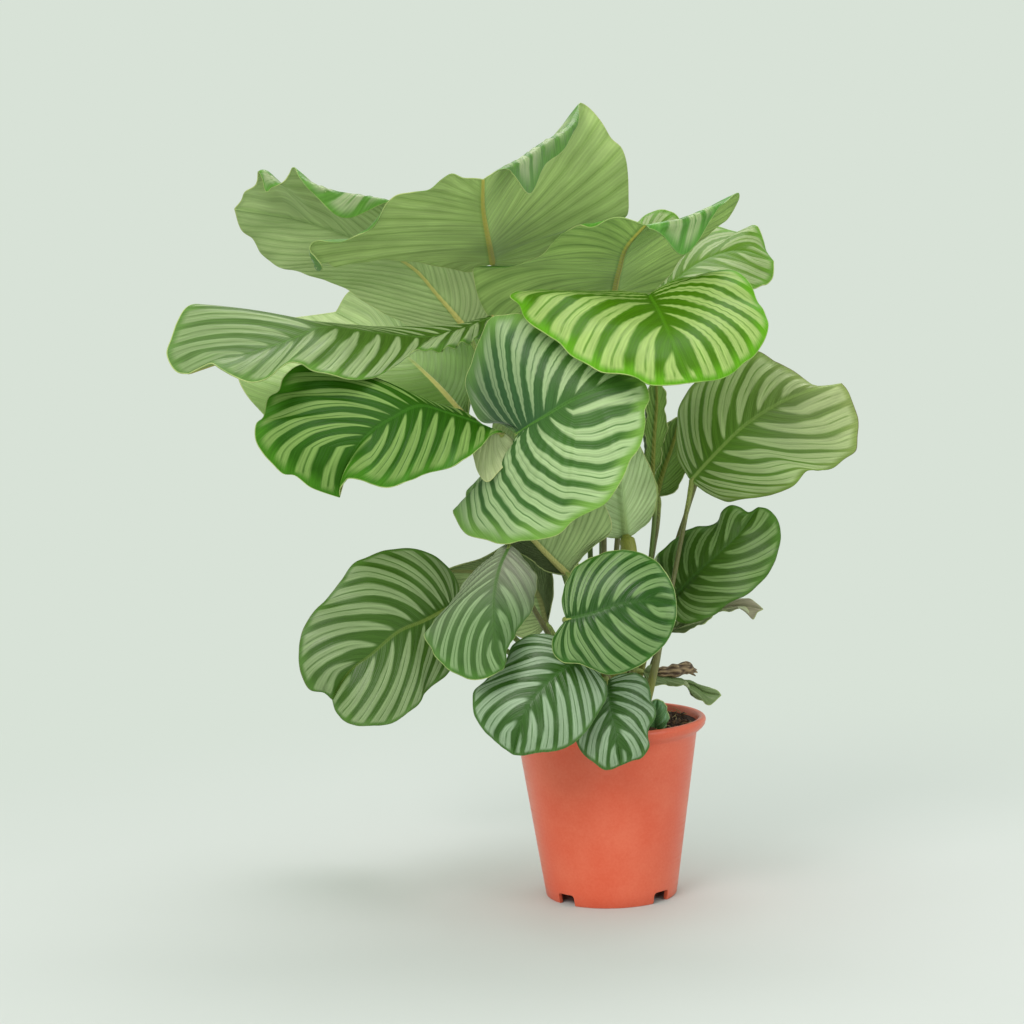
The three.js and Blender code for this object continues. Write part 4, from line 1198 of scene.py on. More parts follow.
            (23, -12, 233), (31, -14, 241), (35, -16, 251), (35, -18, 260), (32, -22, 272), (26, -28, 285),
            (18, -38, 301),
        ],
        [(-1, -18, 232), (-17, -25, 246), (-23, -32, 268), (-16, -42, 293), (-5, -46, 308)],
        root=(3.6, -9.3), small=True,
        sheath=3.3, sheath_end=1.05,
    ),
    Leaf(
        "under_centre",
        Look.UNDER_PALE,
        [(-23, -55, 211), (-37, -58, 226), (-51, -60, 243), (-63, -58, 262)],
        [(-8, -48, 227), (5, -46, 237), (-2, -50, 256), (-26, -55, 269), (-47, -58, 273)],
        [(-35, -60, 214), (-46, -62, 222), (-58, -65, 232), (-65, -62, 247)],
        root=(-7.2, -15.6), small=True,
        # Painted shade over the right half.
        left_fan=Fan(12), right_fan=Fan(12, cast=0.85, fade=2.0),
    ),
    Leaf(
        "inner_right",
        Look.INNER,
        [(39, 42, 251), (45, 48, 268), (51, 50, 283), (57, 48, 304)],
        [(52, 48, 254), (61, 54, 271), (64, 52, 291)],
        [(36, 40, 262), (39, 42, 282), (46, 44, 298)],
        root=(14.4, 9.6), small=True,
    ),
    Leaf(
        "inner_strip",
        Look.INNER,
        [(34, 0, 263), (36, 0, 290), (38, -5, 315), (37, -12, 334)],
        [(41, 10, 280), (45, 12, 302), (43, 6, 323)],
        [(30, -6, 281), (30, -10, 303), (32, -12, 323)],
        root=(7.2, -3), lean=(0.2, 0), aim=(0, 0, 1), small=True,
    ),
    Leaf(
        "withered",
        Look.WILTED,
        [(23, -20, 145), (35, -16, 141), (46, -11, 136), (54, -7, 134), (63, -3, 128), (74, 1, 125)],
        [
            (28, -18, 149), (35, -15, 146), (42, -12, 139), (50, -9, 137), (55, -6, 136), (60, -4, 133),
            (68, -1, 130), (72, 0, 128),
        ],
        [
            (27, -20, 136), (35, -18, 136), (47, -13, 134), (53, -10, 133), (55, -9, 127), (60, -7, 123),
            (66, -5, 120), (71, -2, 123),
        ],
        root=(10.8, -9.3), small=True,
        left_fan=Fan(6, wide=0.2), right_fan=Fan(6, wide=0.2),
    ),
    Leaf(
        "rear_high",
        Look.LEAFY,
        [(-7, 55, 315), (-21, 92, 324), (-37, 130, 315), (-50, 160, 288)],
        [(-27, 60, 309), (-49, 90, 316), (-68, 120, 297), (-66, 146, 273)],
        [(1, 75, 302), (5, 112, 287), (0, 145, 269), (-24, 158, 264)],
        root=(-7.2, 9.6), small=True,
    ),
    Leaf(
        "rear_right",
        Look.LEAFY,
        [(72, 75, 280), (100, 110, 298), (128, 145, 293), (148, 165, 274)],
        [(75, 82, 260), (102, 112, 253), (131, 146, 255)],
        [(74, 92, 310), (105, 120, 324), (140, 150, 321), (161, 164, 301)],
        root=(10.8, 3.3), lean=(0.15, 0), small=True,
    ),
    Leaf(
        "rear_left",
        Look.LEAFY,
        [(-99, 50, 180), (-127, 80, 184), (-156, 105, 169), (-180, 120, 136)],
        [(-112, 58, 201), (-140, 85, 206), (-173, 110, 188), (-189, 120, 160)],
        [(-104, 56, 153), (-122, 82, 129), (-148, 106, 113), (-170, 118, 115)],
        root=(-18, 3.3), small=True,
    ),
    Leaf(
        "rear_low",
        Look.FOLDED,
        [(30, 50, 190), (57, 90, 198), (84, 120, 199), (112, 142, 187)],
        [(41, 62, 174), (64, 92, 173), (93, 128, 172)],
        [(36, 62, 206), (62, 95, 219), (96, 128, 221), (122, 145, 204)],
        root=(7.2, 9.6), small=True,
    ),
]


@dataclass
class Blade:
    """The blade of one leaf: two thin sheets of fine veins, joined round the margin."""

    leaf: Leaf
    thickness: float = 0.6
    rib_depth: float = 1.1  # how far the midrib stands out below
    rib_width: float = 2.2  # half of the midrib's width at the base
    sweep: float = 1.6  # how much closer together the veins leave the midrib near its base
    reach: float = 0.55  # where along a vein its bend lies
    back: float = 0.45  # how squarely a vein leaves the midrib
    wave: float = 1.2  # of the margin
    waves: float = 4.0
    ripple: float = 0.4
    ripples: float = 10.8
    pleat: float = 0.38  # height of the folds between the veins
    fold_radius: float = 2.6  # where a margin folds over
    fold_turn: float = 2.85  # how far it turns

    def rows(self) -> int:
        """Number of veins that are drawn."""
        return 104 if self.leaf.small else 176

    def columns(self) -> np.ndarray:
        """Shares along a vein, closer together at the midrib and at the margin."""
        count = 15 if self.leaf.small else 21
        return 0.5 - 0.5 * np.cos(np.pi * np.arange(count + 1) / count)

    def margin(self, side: Side) -> Route:
        """The edge of a half, from the blade's base to its tip."""
        points = self.leaf.left if side is Side.LEFT else self.leaf.right
        return Route([self.leaf.midrib[0], *points, self.leaf.midrib[-1]])

    def fan(self, side: Side) -> Fan:
        """The veins of a half."""
        return self.leaf.left_fan if side is Side.LEFT else self.leaf.right_fan

    def ups(self, s: np.ndarray) -> np.ndarray:
        """Directions that the upper face looks in, evened out along the blade.

        Args:
            s: The veins, from 0 at the base to 1 at the tip.

        Returns:
            One direction for each vein.
        """
        coarse = np.linspace(0, 1, 10 if self.leaf.small else 13)
        held = np.clip(coarse, 0.02, 0.98)
        left, right = [self.margin(side).at(held) for side in Side]
        ups = unit(np.cross(unit(right - left), Route(self.leaf.midrib).towards(held**self.sweep)))
        for _ in range(3):
            ups = unit(2 * ups + np.vstack([ups[:1], ups[:-1]]) + np.vstack([ups[1:], ups[-1:]]))
        return sampled(s, coarse, ups)

    def half(self, side: Side, s: np.ndarray, t: np.ndarray) -> tuple[np.ndarray, np.ndarray]:
        """Lays one half of the blade.

        Args:
            side: Which half.
            s: The veins.
            t: Shares along each vein, from the midrib to the margin.

        Returns:
            Points by vein and share, and the length of each vein.
        """
        midrib = Route(self.leaf.midrib)
        start, along = midrib.at(s**self.sweep), midrib.towards(s**self.sweep)
        end = self.margin(side).at(s)
        out = end - start
        length = np.linalg.norm(out, axis=1)
        up = unit(np.cross(side.value * out, along) + 0.15 * length[:, None] * self.ups(s))
        bend = start + self.reach * out
        bend -= self.back * self.reach * (out * along).sum(-1, keepdims=True) * along
        bend += (self.leaf.arch[0 if side is Side.LEFT else 1] * np.sin(np.pi * s) ** 0.7)[:, None] * up
        hem, turn, fall = self.folds(side, s)
        run = t[None, :] * (1 + hem / np.maximum(length, 1e-6))[:, None]
        flat = np.minimum(run, 1)[..., None]
        sheet = (1 - flat) ** 2 * start[:, None]
        sheet += 2 * flat * (1 - flat) * bend[:, None]
        sheet += flat**2 * end[:, None]
        over = np.maximum(run - 1, 0) * length[:, None]
        sheet += self.flap(side, (end, unit(end - bend)), (over, turn, fall))
        return sheet + self.relief(side, s, t)[..., None] * up[:, None], length + hem

    def flap(self, side: Side, edge: tuple, fold: tuple) -> np.ndarray:
        """Bends what lies past the margin over a round edge and lets the rest hang.

        Args:
            side: Which half.
            edge: The points of the margin, and the directions in which the veins reach it.
            fold: How far past the margin each point lies, how far the fold turns and where it falls.

        Returns:
            How far each point is moved from the margin.
        """
        end, outward = edge
        over, turn, fall = fold
        margin = unit(np.gradient(end, axis=0))
        outward = unit(outward - (outward * margin).sum(-1, keepdims=True) * margin)
        down = -side.value * np.cross(outward, margin)
        bent = np.minimum(over, self.fold_radius * turn[:, None])
        angle = bent / self.fold_radius
        level, deep = self.fold_radius * np.sin(angle), self.fold_radius * (1 - np.cos(angle))
        moved = level[..., None] * outward[:, None] + deep[..., None] * down[:, None]
        return moved + (over - bent)[..., None] * fall[:, None]

    def folds(self, side: Side, s: np.ndarray) -> tuple[np.ndarray, np.ndarray, np.ndarray]:
        """Adds up the stretches of a margin that fold over.

        Args:
            side: Which half.
            s: The veins.

        Returns:
            For each vein how wide the fold is, how far it turns in radians and where it falls.
        """
        hem, turn, fall = np.zeros_like(s), np.zeros_like(s), np.zeros((len(s), 3))
        for roll in self.leaf.rolls:
            if roll.side is side:
                share = bell(s, roll.at, roll.spread)
                hem += roll.hem * share
                turn += self.fold_turn * np.minimum(1, 2.2 * share)
                fall += share[:, None] * np.array(roll.fall, float)
        return hem, np.minimum(turn, self.fold_turn), unit(fall)

    def relief(self, side: Side, s: np.ndarray, t: np.ndarray) -> np.ndarray:
        """Raises the waves of the margin and the pleats between the veins.

        Args:
            side: Which half.
            s: The veins.
            t: Shares along each vein.

        Returns:
            Heights in mm, by vein and share.
        """
        index = 0 if side is Side.LEFT else 1
        ends = np.minimum(1, 6 * s * (1 - s))
        wave = self.wave * np.sin(FULL * (self.waves * s + 0.3 * index)) * ends
        ripple = self.ripple * np.sin(FULL * (self.ripples * s + 0.2 * index)) * ends
        raised = wave[:, None] * t**3 + ripple[:, None] * t**6
        for ruffle in self.leaf.ruffles:
            if ruffle.side is side:
                height = ruffle.height * bell(s, ruffle.at, ruffle.spread)
                raised += (height * np.sin(FULL * ruffle.count * s))[:, None] * t**5
        pleats = -self.pleat * np.cos(2 * FULL * self.phase(s, t, side))
        return raised + pleats * ends[:, None] * np.sin(np.pi * np.clip(t, 0, 1)) ** 0.6

    def phase(self, s: np.ndarray, t: np.ndarray, side: Side) -> np.ndarray:
        """Numbers the veins at each place: whole numbers lie in the middle of a silver band.

        Args:
            s: Shares along the margin.
            t: Shares out from the midrib.
            side: Which half.

        Returns:
            Vein numbers by s and t.
        """
        fan = self.fan(side)
        start = np.minimum(1, s**self.sweep / fan.start) ** (1 / fan.gather)
        end = s**fan.lobe
        vein = start[:, None] + (end - start)[:, None] * t[None, :] ** fan.bend
        return vein * fan.bands + (0.35 if side is Side.RIGHT else 0.0)

    def values(self, s: np.ndarray, t: np.ndarray, lengths: list[np.ndarray]) -> dict[str, np.ndarray]:
        """Works out what the material reads at each point of one sheet.

        Args:
            s: The veins.
            t: Shares along each vein.
            lengths: The lengths of the veins of the left and the right half.

        Returns:
            The numbers by name: the base's, then by vein from the left margin to the right, then the tip's.
        """
        inner = slice(1, -1)
        fans = [self.fan(side) for side in Side]
        left, right = [self.phase(s, t, side)[inner] for side in Side]
        span = np.broadcast_to(np.concatenate([-t[:0:-1], t]), (len(s) - 2, 2 * len(t) - 1))

        def halves(numbers: list[np.ndarray]) -> np.ndarray:
            """Gives each half its own number at each vein."""
            return np.where(span < 0, numbers[0][inner, None], numbers[1][inner, None])

        length = halves(lengths)
        values = {
            "phase": np.concatenate([left[:, :0:-1], right], axis=1),
            "vein": np.broadcast_to(s[inner, None], span.shape),
            "wide": halves([fan.wide * (fan.base + (1 - fan.base) * ramp(s, 0.1, 0.6)) for fan in fans]),
            # How strongly shade is painted over the base of each half.
            "cast": halves([fan.cast * ramp(s, fan.fade, 0.4 * fan.fade) for fan in fans]),
            "span": span,
            "rib_mm": np.abs(span) * length,
            "edge_mm": (1 - np.abs(span)) * length,
        }
        flat = {name: np.concatenate([[0.0], v.ravel(), [0.0]]) for name, v in values.items()}
        flat["vein"][-1] = 1.0
        flat["phase"][-1] = fans[0].bands
        return flat

    def build(self) -> None:
        """Builds the blade."""
        s, t = np.linspace(0, 1, self.rows() + 1), self.columns()
        (left, left_length), (right, right_length) = [self.half(side, s, t) for side in Side]
        values = self.values(s, t, [left_length, right_length])
        grid = np.concatenate([left[1:-1, :0:-1], right[1:-1]], axis=1)
        count, width = grid.shape[:2]
        middle = np.vstack([self.leaf.midrib[0], grid.reshape(-1, 3), self.leaf.midrib[-1]])
        faces = self.sheet_faces(count, width)
        normals = self.normals(middle, faces)
        rib = self.rib_width * (1 - 0.75 * values["vein"])
        round_rib = np.sqrt(np.maximum(0, 1 - (values["rib_mm"] / rib) ** 2))
        ridge = self.rib_depth * (1 - 0.8 * values["vein"]) * round_rib
        ridge[0] = ridge[-1] = 0
        thick = self.thickness / 2
        upper = middle + normals * (thick - 0.25 * ridge)[:, None]
        lower = middle - normals * (thick + ridge)[:, None]
        total = len(middle)
        firsts = 1 + np.arange(count) * width
        rim = [0, *(firsts + width - 1), total - 1, *firsts[::-1]]
        back = [[a + total for a in reversed(face)] for face in faces]
        edge = [[a, a + total, b + total, b] for a, b in zip(rim, rim[1:] + rim[:1])]
        name, points = f"blade_{self.leaf.name}", np.vstack([upper, lower])
        piece = mesh_object(name, points, [*faces, *edge, *back], self.leaf.look.materials())
        slots = np.zeros(len(piece.data.polygons), np.int32)
        slots[len(faces) + len(edge) :] = 1
        piece.data.polygons.foreach_set("material_index", slots)
        for key, numbers in values.items():
            give_values(piece, key, np.tile(numbers, 2))
        settle(piece, (f"leaf_{self.leaf.name}",))

    @staticmethod
    def sheet_faces(count: int, width: int) -> Faces:
        """Faces of one sheet: fans at the base and the tip, quads between them.

        Args:
            count: Rows of points.
            width: Points in a row.

        Returns:
            Corner numbers of each face.
        """
        tip, last = count * width + 1, 1 + (count - 1) * width
        base_fan = [[0, j + 2, j + 1] for j in range(width - 1)]
        tip_fan = [[tip, last + j, last + j + 1] for j in range(width - 1)]
        return base_fan + grid_faces(count, width, first=1) + tip_fan

    @staticmethod
    def normals(points: np.ndarray, faces: Faces) -> np.ndarray:
        """Directions square to a sheet at its points.

        Args:
            points: The sheet's points.
            faces: Its faces.

        Returns:
            One direction for each point.
        """
        total = np.zeros_like(points)
        for size in (3, 4):
            corners = np.array([f for f in faces if len(f) == size])
            place = [points[corners[:, k]] for k in range(size)]
            across = place[3] - place[1] if size == 4 else place[1] - place[0]
            square = np.cross(place[2] - place[0], across) * (1 if size == 4 else -1)
            for k in range(size):
                np.add.at(total, corners[:, k], square)
        return unit(total)


@dataclass
class Stems:
    """Leaf stalks: tubes along curves, with a sheath at the foot and a swollen joint under the blade."""

    foot_height: float = 84.0
    sides: int = 14
    steps: int = 64
    foot_radius: float = 2.4
    stalk_radius: float = 1.45
    joint_radius: float = 1.75
    rise: float = 0.45  # how straight a stem leaves the soil
    bend: float = 0.8  # how far the joint turns in under the blade
    gap: float = 1.3  # from the route's end to the middle of the blade's base
    drop: float = 1.9
    unevenness: float = 0.5

    def route(self, leaf: Leaf) -> np.ndarray:
        """Points along a leaf's stalk, from its foot in the soil to the blade.

        Args:
            leaf: The leaf.

        Returns:
            The points.
        """
        base = np.array(leaf.midrib[0], float)
        along = unit(Route(leaf.midrib).at(np.array([0.03]))[0] - base)
        up = unit(np.cross(np.array(leaf.right[0], float) - np.array(leaf.left[0], float), along))
        arrive = unit(np.array(leaf.aim, float)) if leaf.aim else unit(along + self.bend * up)
        foot = np.array([*leaf.root, self.foot_height])
        top = base - arrive * self.gap - up * self.drop
        length = float(np.linalg.norm(top - foot))
        lower = foot + unit(np.array([*leaf.lean, 1.0])) * self.rise * length
        upper = top - arrive * leaf.reach * length
        u = np.linspace(0, 1, 400)[:, None]
        fine = (1 - u) ** 3 * foot + 3 * u * (1 - u) ** 2 * lower + 3 * u**2 * (1 - u) * upper + u**3 * top
        fine = np.vstack([fine, base - up * 0.9, base - up * 0.5 + along * 3.0])
        run = runs(fine)
        return sampled(np.linspace(0, run[-1], self.steps + 1), run, fine)

    def girth(self, leaf: Leaf, points: np.ndarray) -> tuple[np.ndarray, np.ndarray]:
        """Radius of a stalk and how far up each point lies.

        Args:
            leaf: The leaf.
            points: The stalk's route.

        Returns:
            Radii in mm, and shares of the length.
        """
        run = runs(points)
        share, left = run / run[-1], run[-1] - run
        slim = self.foot_radius + (self.stalk_radius - self.foot_radius) * np.minimum(1, share * 1.3)
        end = leaf.sheath_end
        sheath = leaf.sheath * ramp(share, end, end - 0.08) * ramp(share, 0.0, 0.12)
        joint = (self.joint_radius - self.stalk_radius) * ramp(left, 15, 10) * ramp(left, 0, 4)
        closing = 1 - 0.55 * ramp(left, 4, 0)
        # A long sheath keeps its pale colour up to its end.
        return (slim + sheath + joint) * closing, share * min(1.0, 0.3 / end) if end > 0.5 else share

    def skin(self) -> Growth:
        """Geometry tree that wraps a round skin along a line of points."""
        growth = Growth("stalk_skin")
        add = growth.add
        sides, material = growth.size("Sides", "Int"), growth.size("Material", "Material")
        knobs = growth.size("Unevenness")
        curve = add(Kind.CURVE, growth.given)
        ring = add(Kind.RING, Resolution=sides, Radius=1.0)
        girth = add(Kind.STORED, Name="girth")
        tube = add(Kind.TUBE, Curve=curve, Profile_Curve=ring, Scale=girth, Fill_Caps=True)
        # Swellings 12 mm long.
        lumps = add(Kind.NOISE, Scale=80.0, Detail=1.0)
        height = growth.product(add(Kind.MINUS, lumps, 0.5), knobs)
        offset = add(Kind.VECTOR_SCALE, add(Kind.NORMAL), Scale=height)
        growth.close(add(Kind.MOVE, Geometry=tube, Offset=offset), material)
        return growth

    def build(self) -> None:
        """Builds a stalk for each leaf."""
        growth = self.skin()
        brown = StemSkin("calathea_stalk_brown", "#8f9440", "#6d6f42", "#87954a").material()
        green = StemSkin("calathea_stalk_green", "#92a04a", "#5d7434", "#8ba052").material()
        for index, leaf in enumerate(LEAVES):
            points = self.route(leaf)
            edges = [[i, i + 1] for i in range(len(points) - 1)]
            piece = mesh_object(f"stalk_{leaf.name}", points, edges, [])
            girth, share = self.girth(leaf, points)
            give_values(piece, "girth", girth * MM)
            give_values(piece, "along", share)
            finish = green if index % 2 else brown
            growth.grow(piece, Sides=self.sides, Material=finish, Unevenness=self.unevenness * MM)
            settle(piece, (f"stem_{leaf.name}",))


# ------------------------------------------------------------------ pot


@dataclass
class Pot:
    """Tapered nursery pot with a rolled lip, a raised floor, drain holes and gaps in its skirt."""

    height: float = 114.0
    rim: float = 63.5
    foot: float = 42.0
    neck: float = 57.5
    neck_height: float = 104.0
    lip: float = 2.4
    wall: float = 1.5
    floor: float = 8.0
    floor_thickness: float = 1.6
    boss: float = 14.0
    notch_width: float = 13.0
    notch_height: float = 7.0
    notch_corner: float = 2.0
    notches: int = 4
    drain: float = 4.5
    drain_circle: float = 28.0
    drains: int = 4
    sides: int = 144
    edge_round: float = 0.3

    def radius(self, height: float) -> float:
        """Outside radius of the wall at a height below the lip."""
        return self.foot + (self.neck - self.foot) * height / self.neck_height

    def profile(self) -> list[tuple[float, float]]:
        """Section of the pot, as radius and height, from the axis below to the axis above."""
        top = self.floor + self.floor_thickness
        inside = self.neck - self.wall
        return [
            (0, 0.0), (self.boss - 0.6, 0.0), (self.boss, 0.6), (self.boss, self.floor),
            (self.radius(self.floor) - 2 * self.wall, self.floor),
            (self.foot - 2 * self.wall, 0.5), (self.foot - 2 * self.wall + 0.6, 0.0),
            (self.foot - 0.7, 0.0), (self.foot, 0.7), (self.radius(9.0), 9.0), (self.radius(40.0), 40.0),
            (self.radius(75.0), 75.0), (self.radius(98.0), 98.0), (self.neck - 0.1, self.neck_height - 0.5),
            (self.neck + 0.5, self.neck_height + 0.5), (self.neck + 1.6, self.neck_height + 1.3),
            (self.rim - 1.9, self.height - 6.6), (self.rim - 0.6, self.height - 5.0),
            *arc((self.rim - self.lip, self.height - self.lip), self.lip, -0.5, 2.4, 12),
            (self.rim - 4.6, self.height - 2.6), (inside + 0.5, self.neck_height + 1.5),
            (inside - 0.1, self.neck_height - 1), (self.radius(60.0) - self.wall, 60.0),
            (self.radius(top + 2) - self.wall, top + 2), (self.radius(top) - self.wall - 1.2, top), (0, top),
        ]

    def shell(self) -> bpy.types.Object:
        """Turns the section round the axis.

        Returns:
            The pot without its gaps and holes.
        """
        (_, bottom), *section, (_, top) = self.profile()
        points = [(0.0, 0.0, bottom)]
        for radius, height in section:
            points += [(x, y, height) for x, y in circle(radius, self.sides)]
        points.append((0.0, 0.0, top))
        skin = MouldedPolypropylene("satin_polypropylene", "#d4593a", "#da6a4c").material()
        return mesh_object("pot_shell", np.array(points), ring_faces(self.sides, len(section)), [skin])

    def cutter(self, outline: list[tuple[float, float]], depth: float, move: Matrix) -> bpy.types.Object:
        """Makes a plain tool that cuts a gap or a hole.

        Args:
            outline: Its section, in mm.
            depth: How long it is, in mm.
            move: Where it goes.

        Returns:
            The tool.
        """
        count = len(outline)
        points = np.array([(x, y, z) for z in (0.0, depth) for x, y in outline])
        faces = [list(reversed(range(count))), list(range(count, 2 * count))]
        faces += [[i, (i + 1) % count, count + (i + 1) % count, count + i] for i in range(count)]
        tool = mesh_object("cutter", points, faces, [])
        tool.data.transform(move)
        return tool

    def cutters(self) -> list[bpy.types.Object]:
        """Tools for the gaps in the skirt and for the drain holes."""
        half, tall, corner = self.notch_width / 2, self.notch_height, self.notch_corner
        bend = arc((half - corner, tall - corner), corner, 0, math.pi / 2, 6)
        notch = [(-half, -1), (half, -1), *bend, *[(-x, y) for x, y in reversed(bend)]]
        skirt = Matrix.Translation((0, (self.foot + 10) * MM, 0)) @ Matrix.Rotation(math.pi / 2, 4, "X")
        floor = Matrix.Translation((self.drain_circle * MM, 0, (self.floor - 5) * MM))
        tools = []
        for i in range(self.notches):
            turn = Matrix.Rotation((i + 0.5) / self.notches * FULL, 4, "Z")
            tools.append(self.cutter(notch, 20.0, turn @ skirt))
        for i in range(self.drains):
            turn = Matrix.Rotation(i / self.drains * FULL, 4, "Z")
            tools.append(self.cutter(circle(self.drain, 24), 10.0, turn @ floor))
        return tools

    def build(self) -> None:
        """Builds the pot."""
        piece, tools = self.shell(), self.cutters()
        for tool in tools:
            cut = piece.modifiers.new("cut", "BOOLEAN")
            cut.object, cut.operation, cut.solver = tool, "DIFFERENCE", "EXACT"
        soften = piece.modifiers.new("soften", "BEVEL")
        soften.width, soften.segments, soften.angle_limit = self.edge_round * MM, 2, math.radians(50)
        make_plain(piece)
        for tool in tools:
            bpy.data.objects.remove(tool)
        piece.data.shade_smooth()
        piece.data.set_sharp_from_angle(angle=math.radians(38))
        settle(piece, ("nursery_pot",))


# ------------------------------------------------------------------ soil


class Bit(Enum):
    """What lies loose on the soil."""

    LUMP = 1
    CHIP = 2
    FIBRE = 3


class Litter(NamedTuple):
    """One kind of loose bits, strewn over the soil."""

    name: str
    bit: Bit
    count: int
    seed: int
    smallest: float  # in mm
    largest: float
    flatness: float
    mix: PottingMix


@dataclass
class Soil:
    """Potting mix in the pot: a lumpy bed, crumbs, bark chips and pale root fibres."""

    pot: Pot
    edge: float = 109.5
    crown: float = 3.5
    roughness: float = 1.1
    rings: int = 44
    sides: int = 144
    patch_steps: int = 25
    crumple: float = 2.2
    litter: tuple[Litter, ...] = (
        Litter("soil_crumbs", Bit.LUMP, 1500, 4, 0.5, 1.7, 0.8,
               PottingMix("peat_crumbs", "#1a110b", "#4a3524", 900.0)),
        Litter("bark_chips", Bit.CHIP, 110, 9, 1.4, 3.4, 0.35,
               PottingMix("composted_bark", "#2c1f15", "#6f5236", 700.0, 0.8)),
        Litter("root_fibres", Bit.FIBRE, 260, 2, 4.0, 9.0, 1.0,
               PottingMix("dry_root_fibre", "#8a7a4e", "#b9a873", 900.0, 0.7)),
    )

    def height(self, x: np.ndarray, y: np.ndarray) -> np.ndarray:
        """Height of the lumpy bed, highest in the middle.

        Args:
            x: Places across, in mm.
            y: Places away, in mm.

        Returns:
            Heights in mm.
        """
        out = np.hypot(x, y) / self.pot.neck
        lumps = np.sin(0.31 * x + 1.3) * np.cos(0.27 * y) + 0.6 * np.sin(0.53 * y - 0.21 * x)
        bits = np.sin(1.1 * x + 0.7 * y) * np.sin(0.9 * y - 0.6 * x + 2) + 0.6 * np.sin(2.3 * x - 1.7 * y)
        bed = self.edge + self.crown * (1 - out**2) + self.roughness * lumps * (1 - out**6)
        return bed + 0.35 * bits * (1 - out**8)

    def bed(self) -> None:
        """Builds the bed: a closed body that fills the pot."""
        pot = self.pot
        floor = pot.floor + pot.floor_thickness + 0.3
        inside = pot.rim - 5.7
        points = [(0.0, 0.0, float(self.height(np.zeros(1), np.zeros(1))[0]))]
        for r in range(1, self.rings + 1):
            x, y = np.array(circle(inside * r / self.rings, self.sides)).T
            points += list(zip(x, y, self.height(x, y)))
        neck, low = pot.neck - pot.wall - 0.2, pot.radius(floor) - pot.wall - 0.4
        points += [(x, y, pot.neck_height - 1) for x, y in circle(neck, self.sides)]
        points += [(x, y, floor) for x, y in circle(low, self.sides)]
        points.append((0.0, 0.0, floor))
        faces = turned_over(ring_faces(self.sides, self.rings + 2))
        peat = PottingMix("damp_peat", "#150d08", "#3f2c1e", 420.0).material()
        settle(mesh_object("soil_bed", np.array(points, float), faces, [peat]), ("potting_soil",))

    def patch(self, name: str) -> bpy.types.Object:
        """Open copy of the bed's top, which loose pieces are strewn over.

        Args:
            name: The name of what is strewn.

        Returns:
            The object.
        """
        reach = self.pot.neck - 5.5
        steps = np.linspace(-1, 1, self.patch_steps) * reach
        x, y = np.meshgrid(steps, steps, indexing="ij")
        points = np.stack([x.ravel(), y.ravel(), self.height(x.ravel(), y.ravel())], -1)
        squares = turned_over(grid_faces(self.patch_steps, self.patch_steps))
        faces = [square for square in squares if np.hypot(*points[square, :2].mean(0)) < reach]
        return mesh_object(name, points, faces, [])

    def strewing(self, litter: Litter) -> Growth:
        """Geometry tree that strews lumps, chips or fibres over a surface.

        Args:
            litter: What is strewn.

        Returns:
            The tree.
        """
        growth = Growth(litter.name)
        add = growth.add
        density, seed = growth.size("Density"), growth.size("Seed", "Int")
        small, large = growth.size("Smallest"), growth.size("Largest")
        flat, material = growth.size("Flatness"), growth.size("Material", "Material")
        spots = add(Kind.SCATTER, Mesh=growth.given, Density=density, Seed=seed)
        fibre = litter.bit is Bit.FIBRE
        if litter.bit is Bit.LUMP:
            body = add(Kind.BALL, Radius=1.0, Subdivisions=1)
        elif litter.bit is Bit.CHIP:
            body = add(Kind.PRISM, Vertices=6, Side_Segments=1, Radius=1.0, Depth=1.4)
        else:
            bow = add(Kind.BOW, Resolution=7, Start=(-1, 0, 0), Middle=(0.1, 0.9, 0.25), End=(1, -0.3, -0.1))
            ring = add(Kind.RING, Resolution=5, Radius=0.026)
            body = add(Kind.TUBE, Curve=bow, Profile_Curve=ring, Fill_Caps=True)
        tip = 0.5 if fibre else 1.2
        euler = add(Kind.RANDOM_VECTOR, (-tip, -tip, -math.pi), (tip, tip, math.pi), Seed=3)
        wide, deep = add(Kind.RANDOM, small, large, Seed=5), add(Kind.RANDOM, small, large, Seed=8)
        size = add(Kind.VECTOR, wide, wide if fibre else deep, growth.product(wide, flat))
        turn = add(Kind.ROTATION, euler)
        real = add(Kind.REALIZE, add(Kind.COPIES, Points=spots, Instance=body, Rotation=turn, Scale=size))
        # Each bit is crumpled by noise 2 mm across.
        noise = add(Kind.NOISE_VECTOR, Scale=420.0, Detail=1.0)
        centred = add(Kind.VECTOR_MINUS, noise, (0.5, 0.5, 0.5))
        offset = add(Kind.VECTOR_SCALE, centred, Scale=self.crumple * MM)
        growth.close(add(Kind.MOVE, Geometry=real, Offset=offset), material)
        return growth

    def build(self) -> None:
        """Builds the bed and what lies on it."""
        self.bed()
        area = math.pi * ((self.pot.neck - 5.5) * MM) ** 2
        for litter in self.litter:
            piece = self.patch(litter.name)
            self.strewing(litter).grow(
                piece,
                Density=litter.count / area,
                Seed=litter.seed,
                Smallest=litter.smallest * MM,
                Largest=litter.largest * MM,
                Flatness=litter.flatness,
                Material=litter.mix.material(),
            )
            settle(piece)


# ------------------------------------------------------------------ withered curl


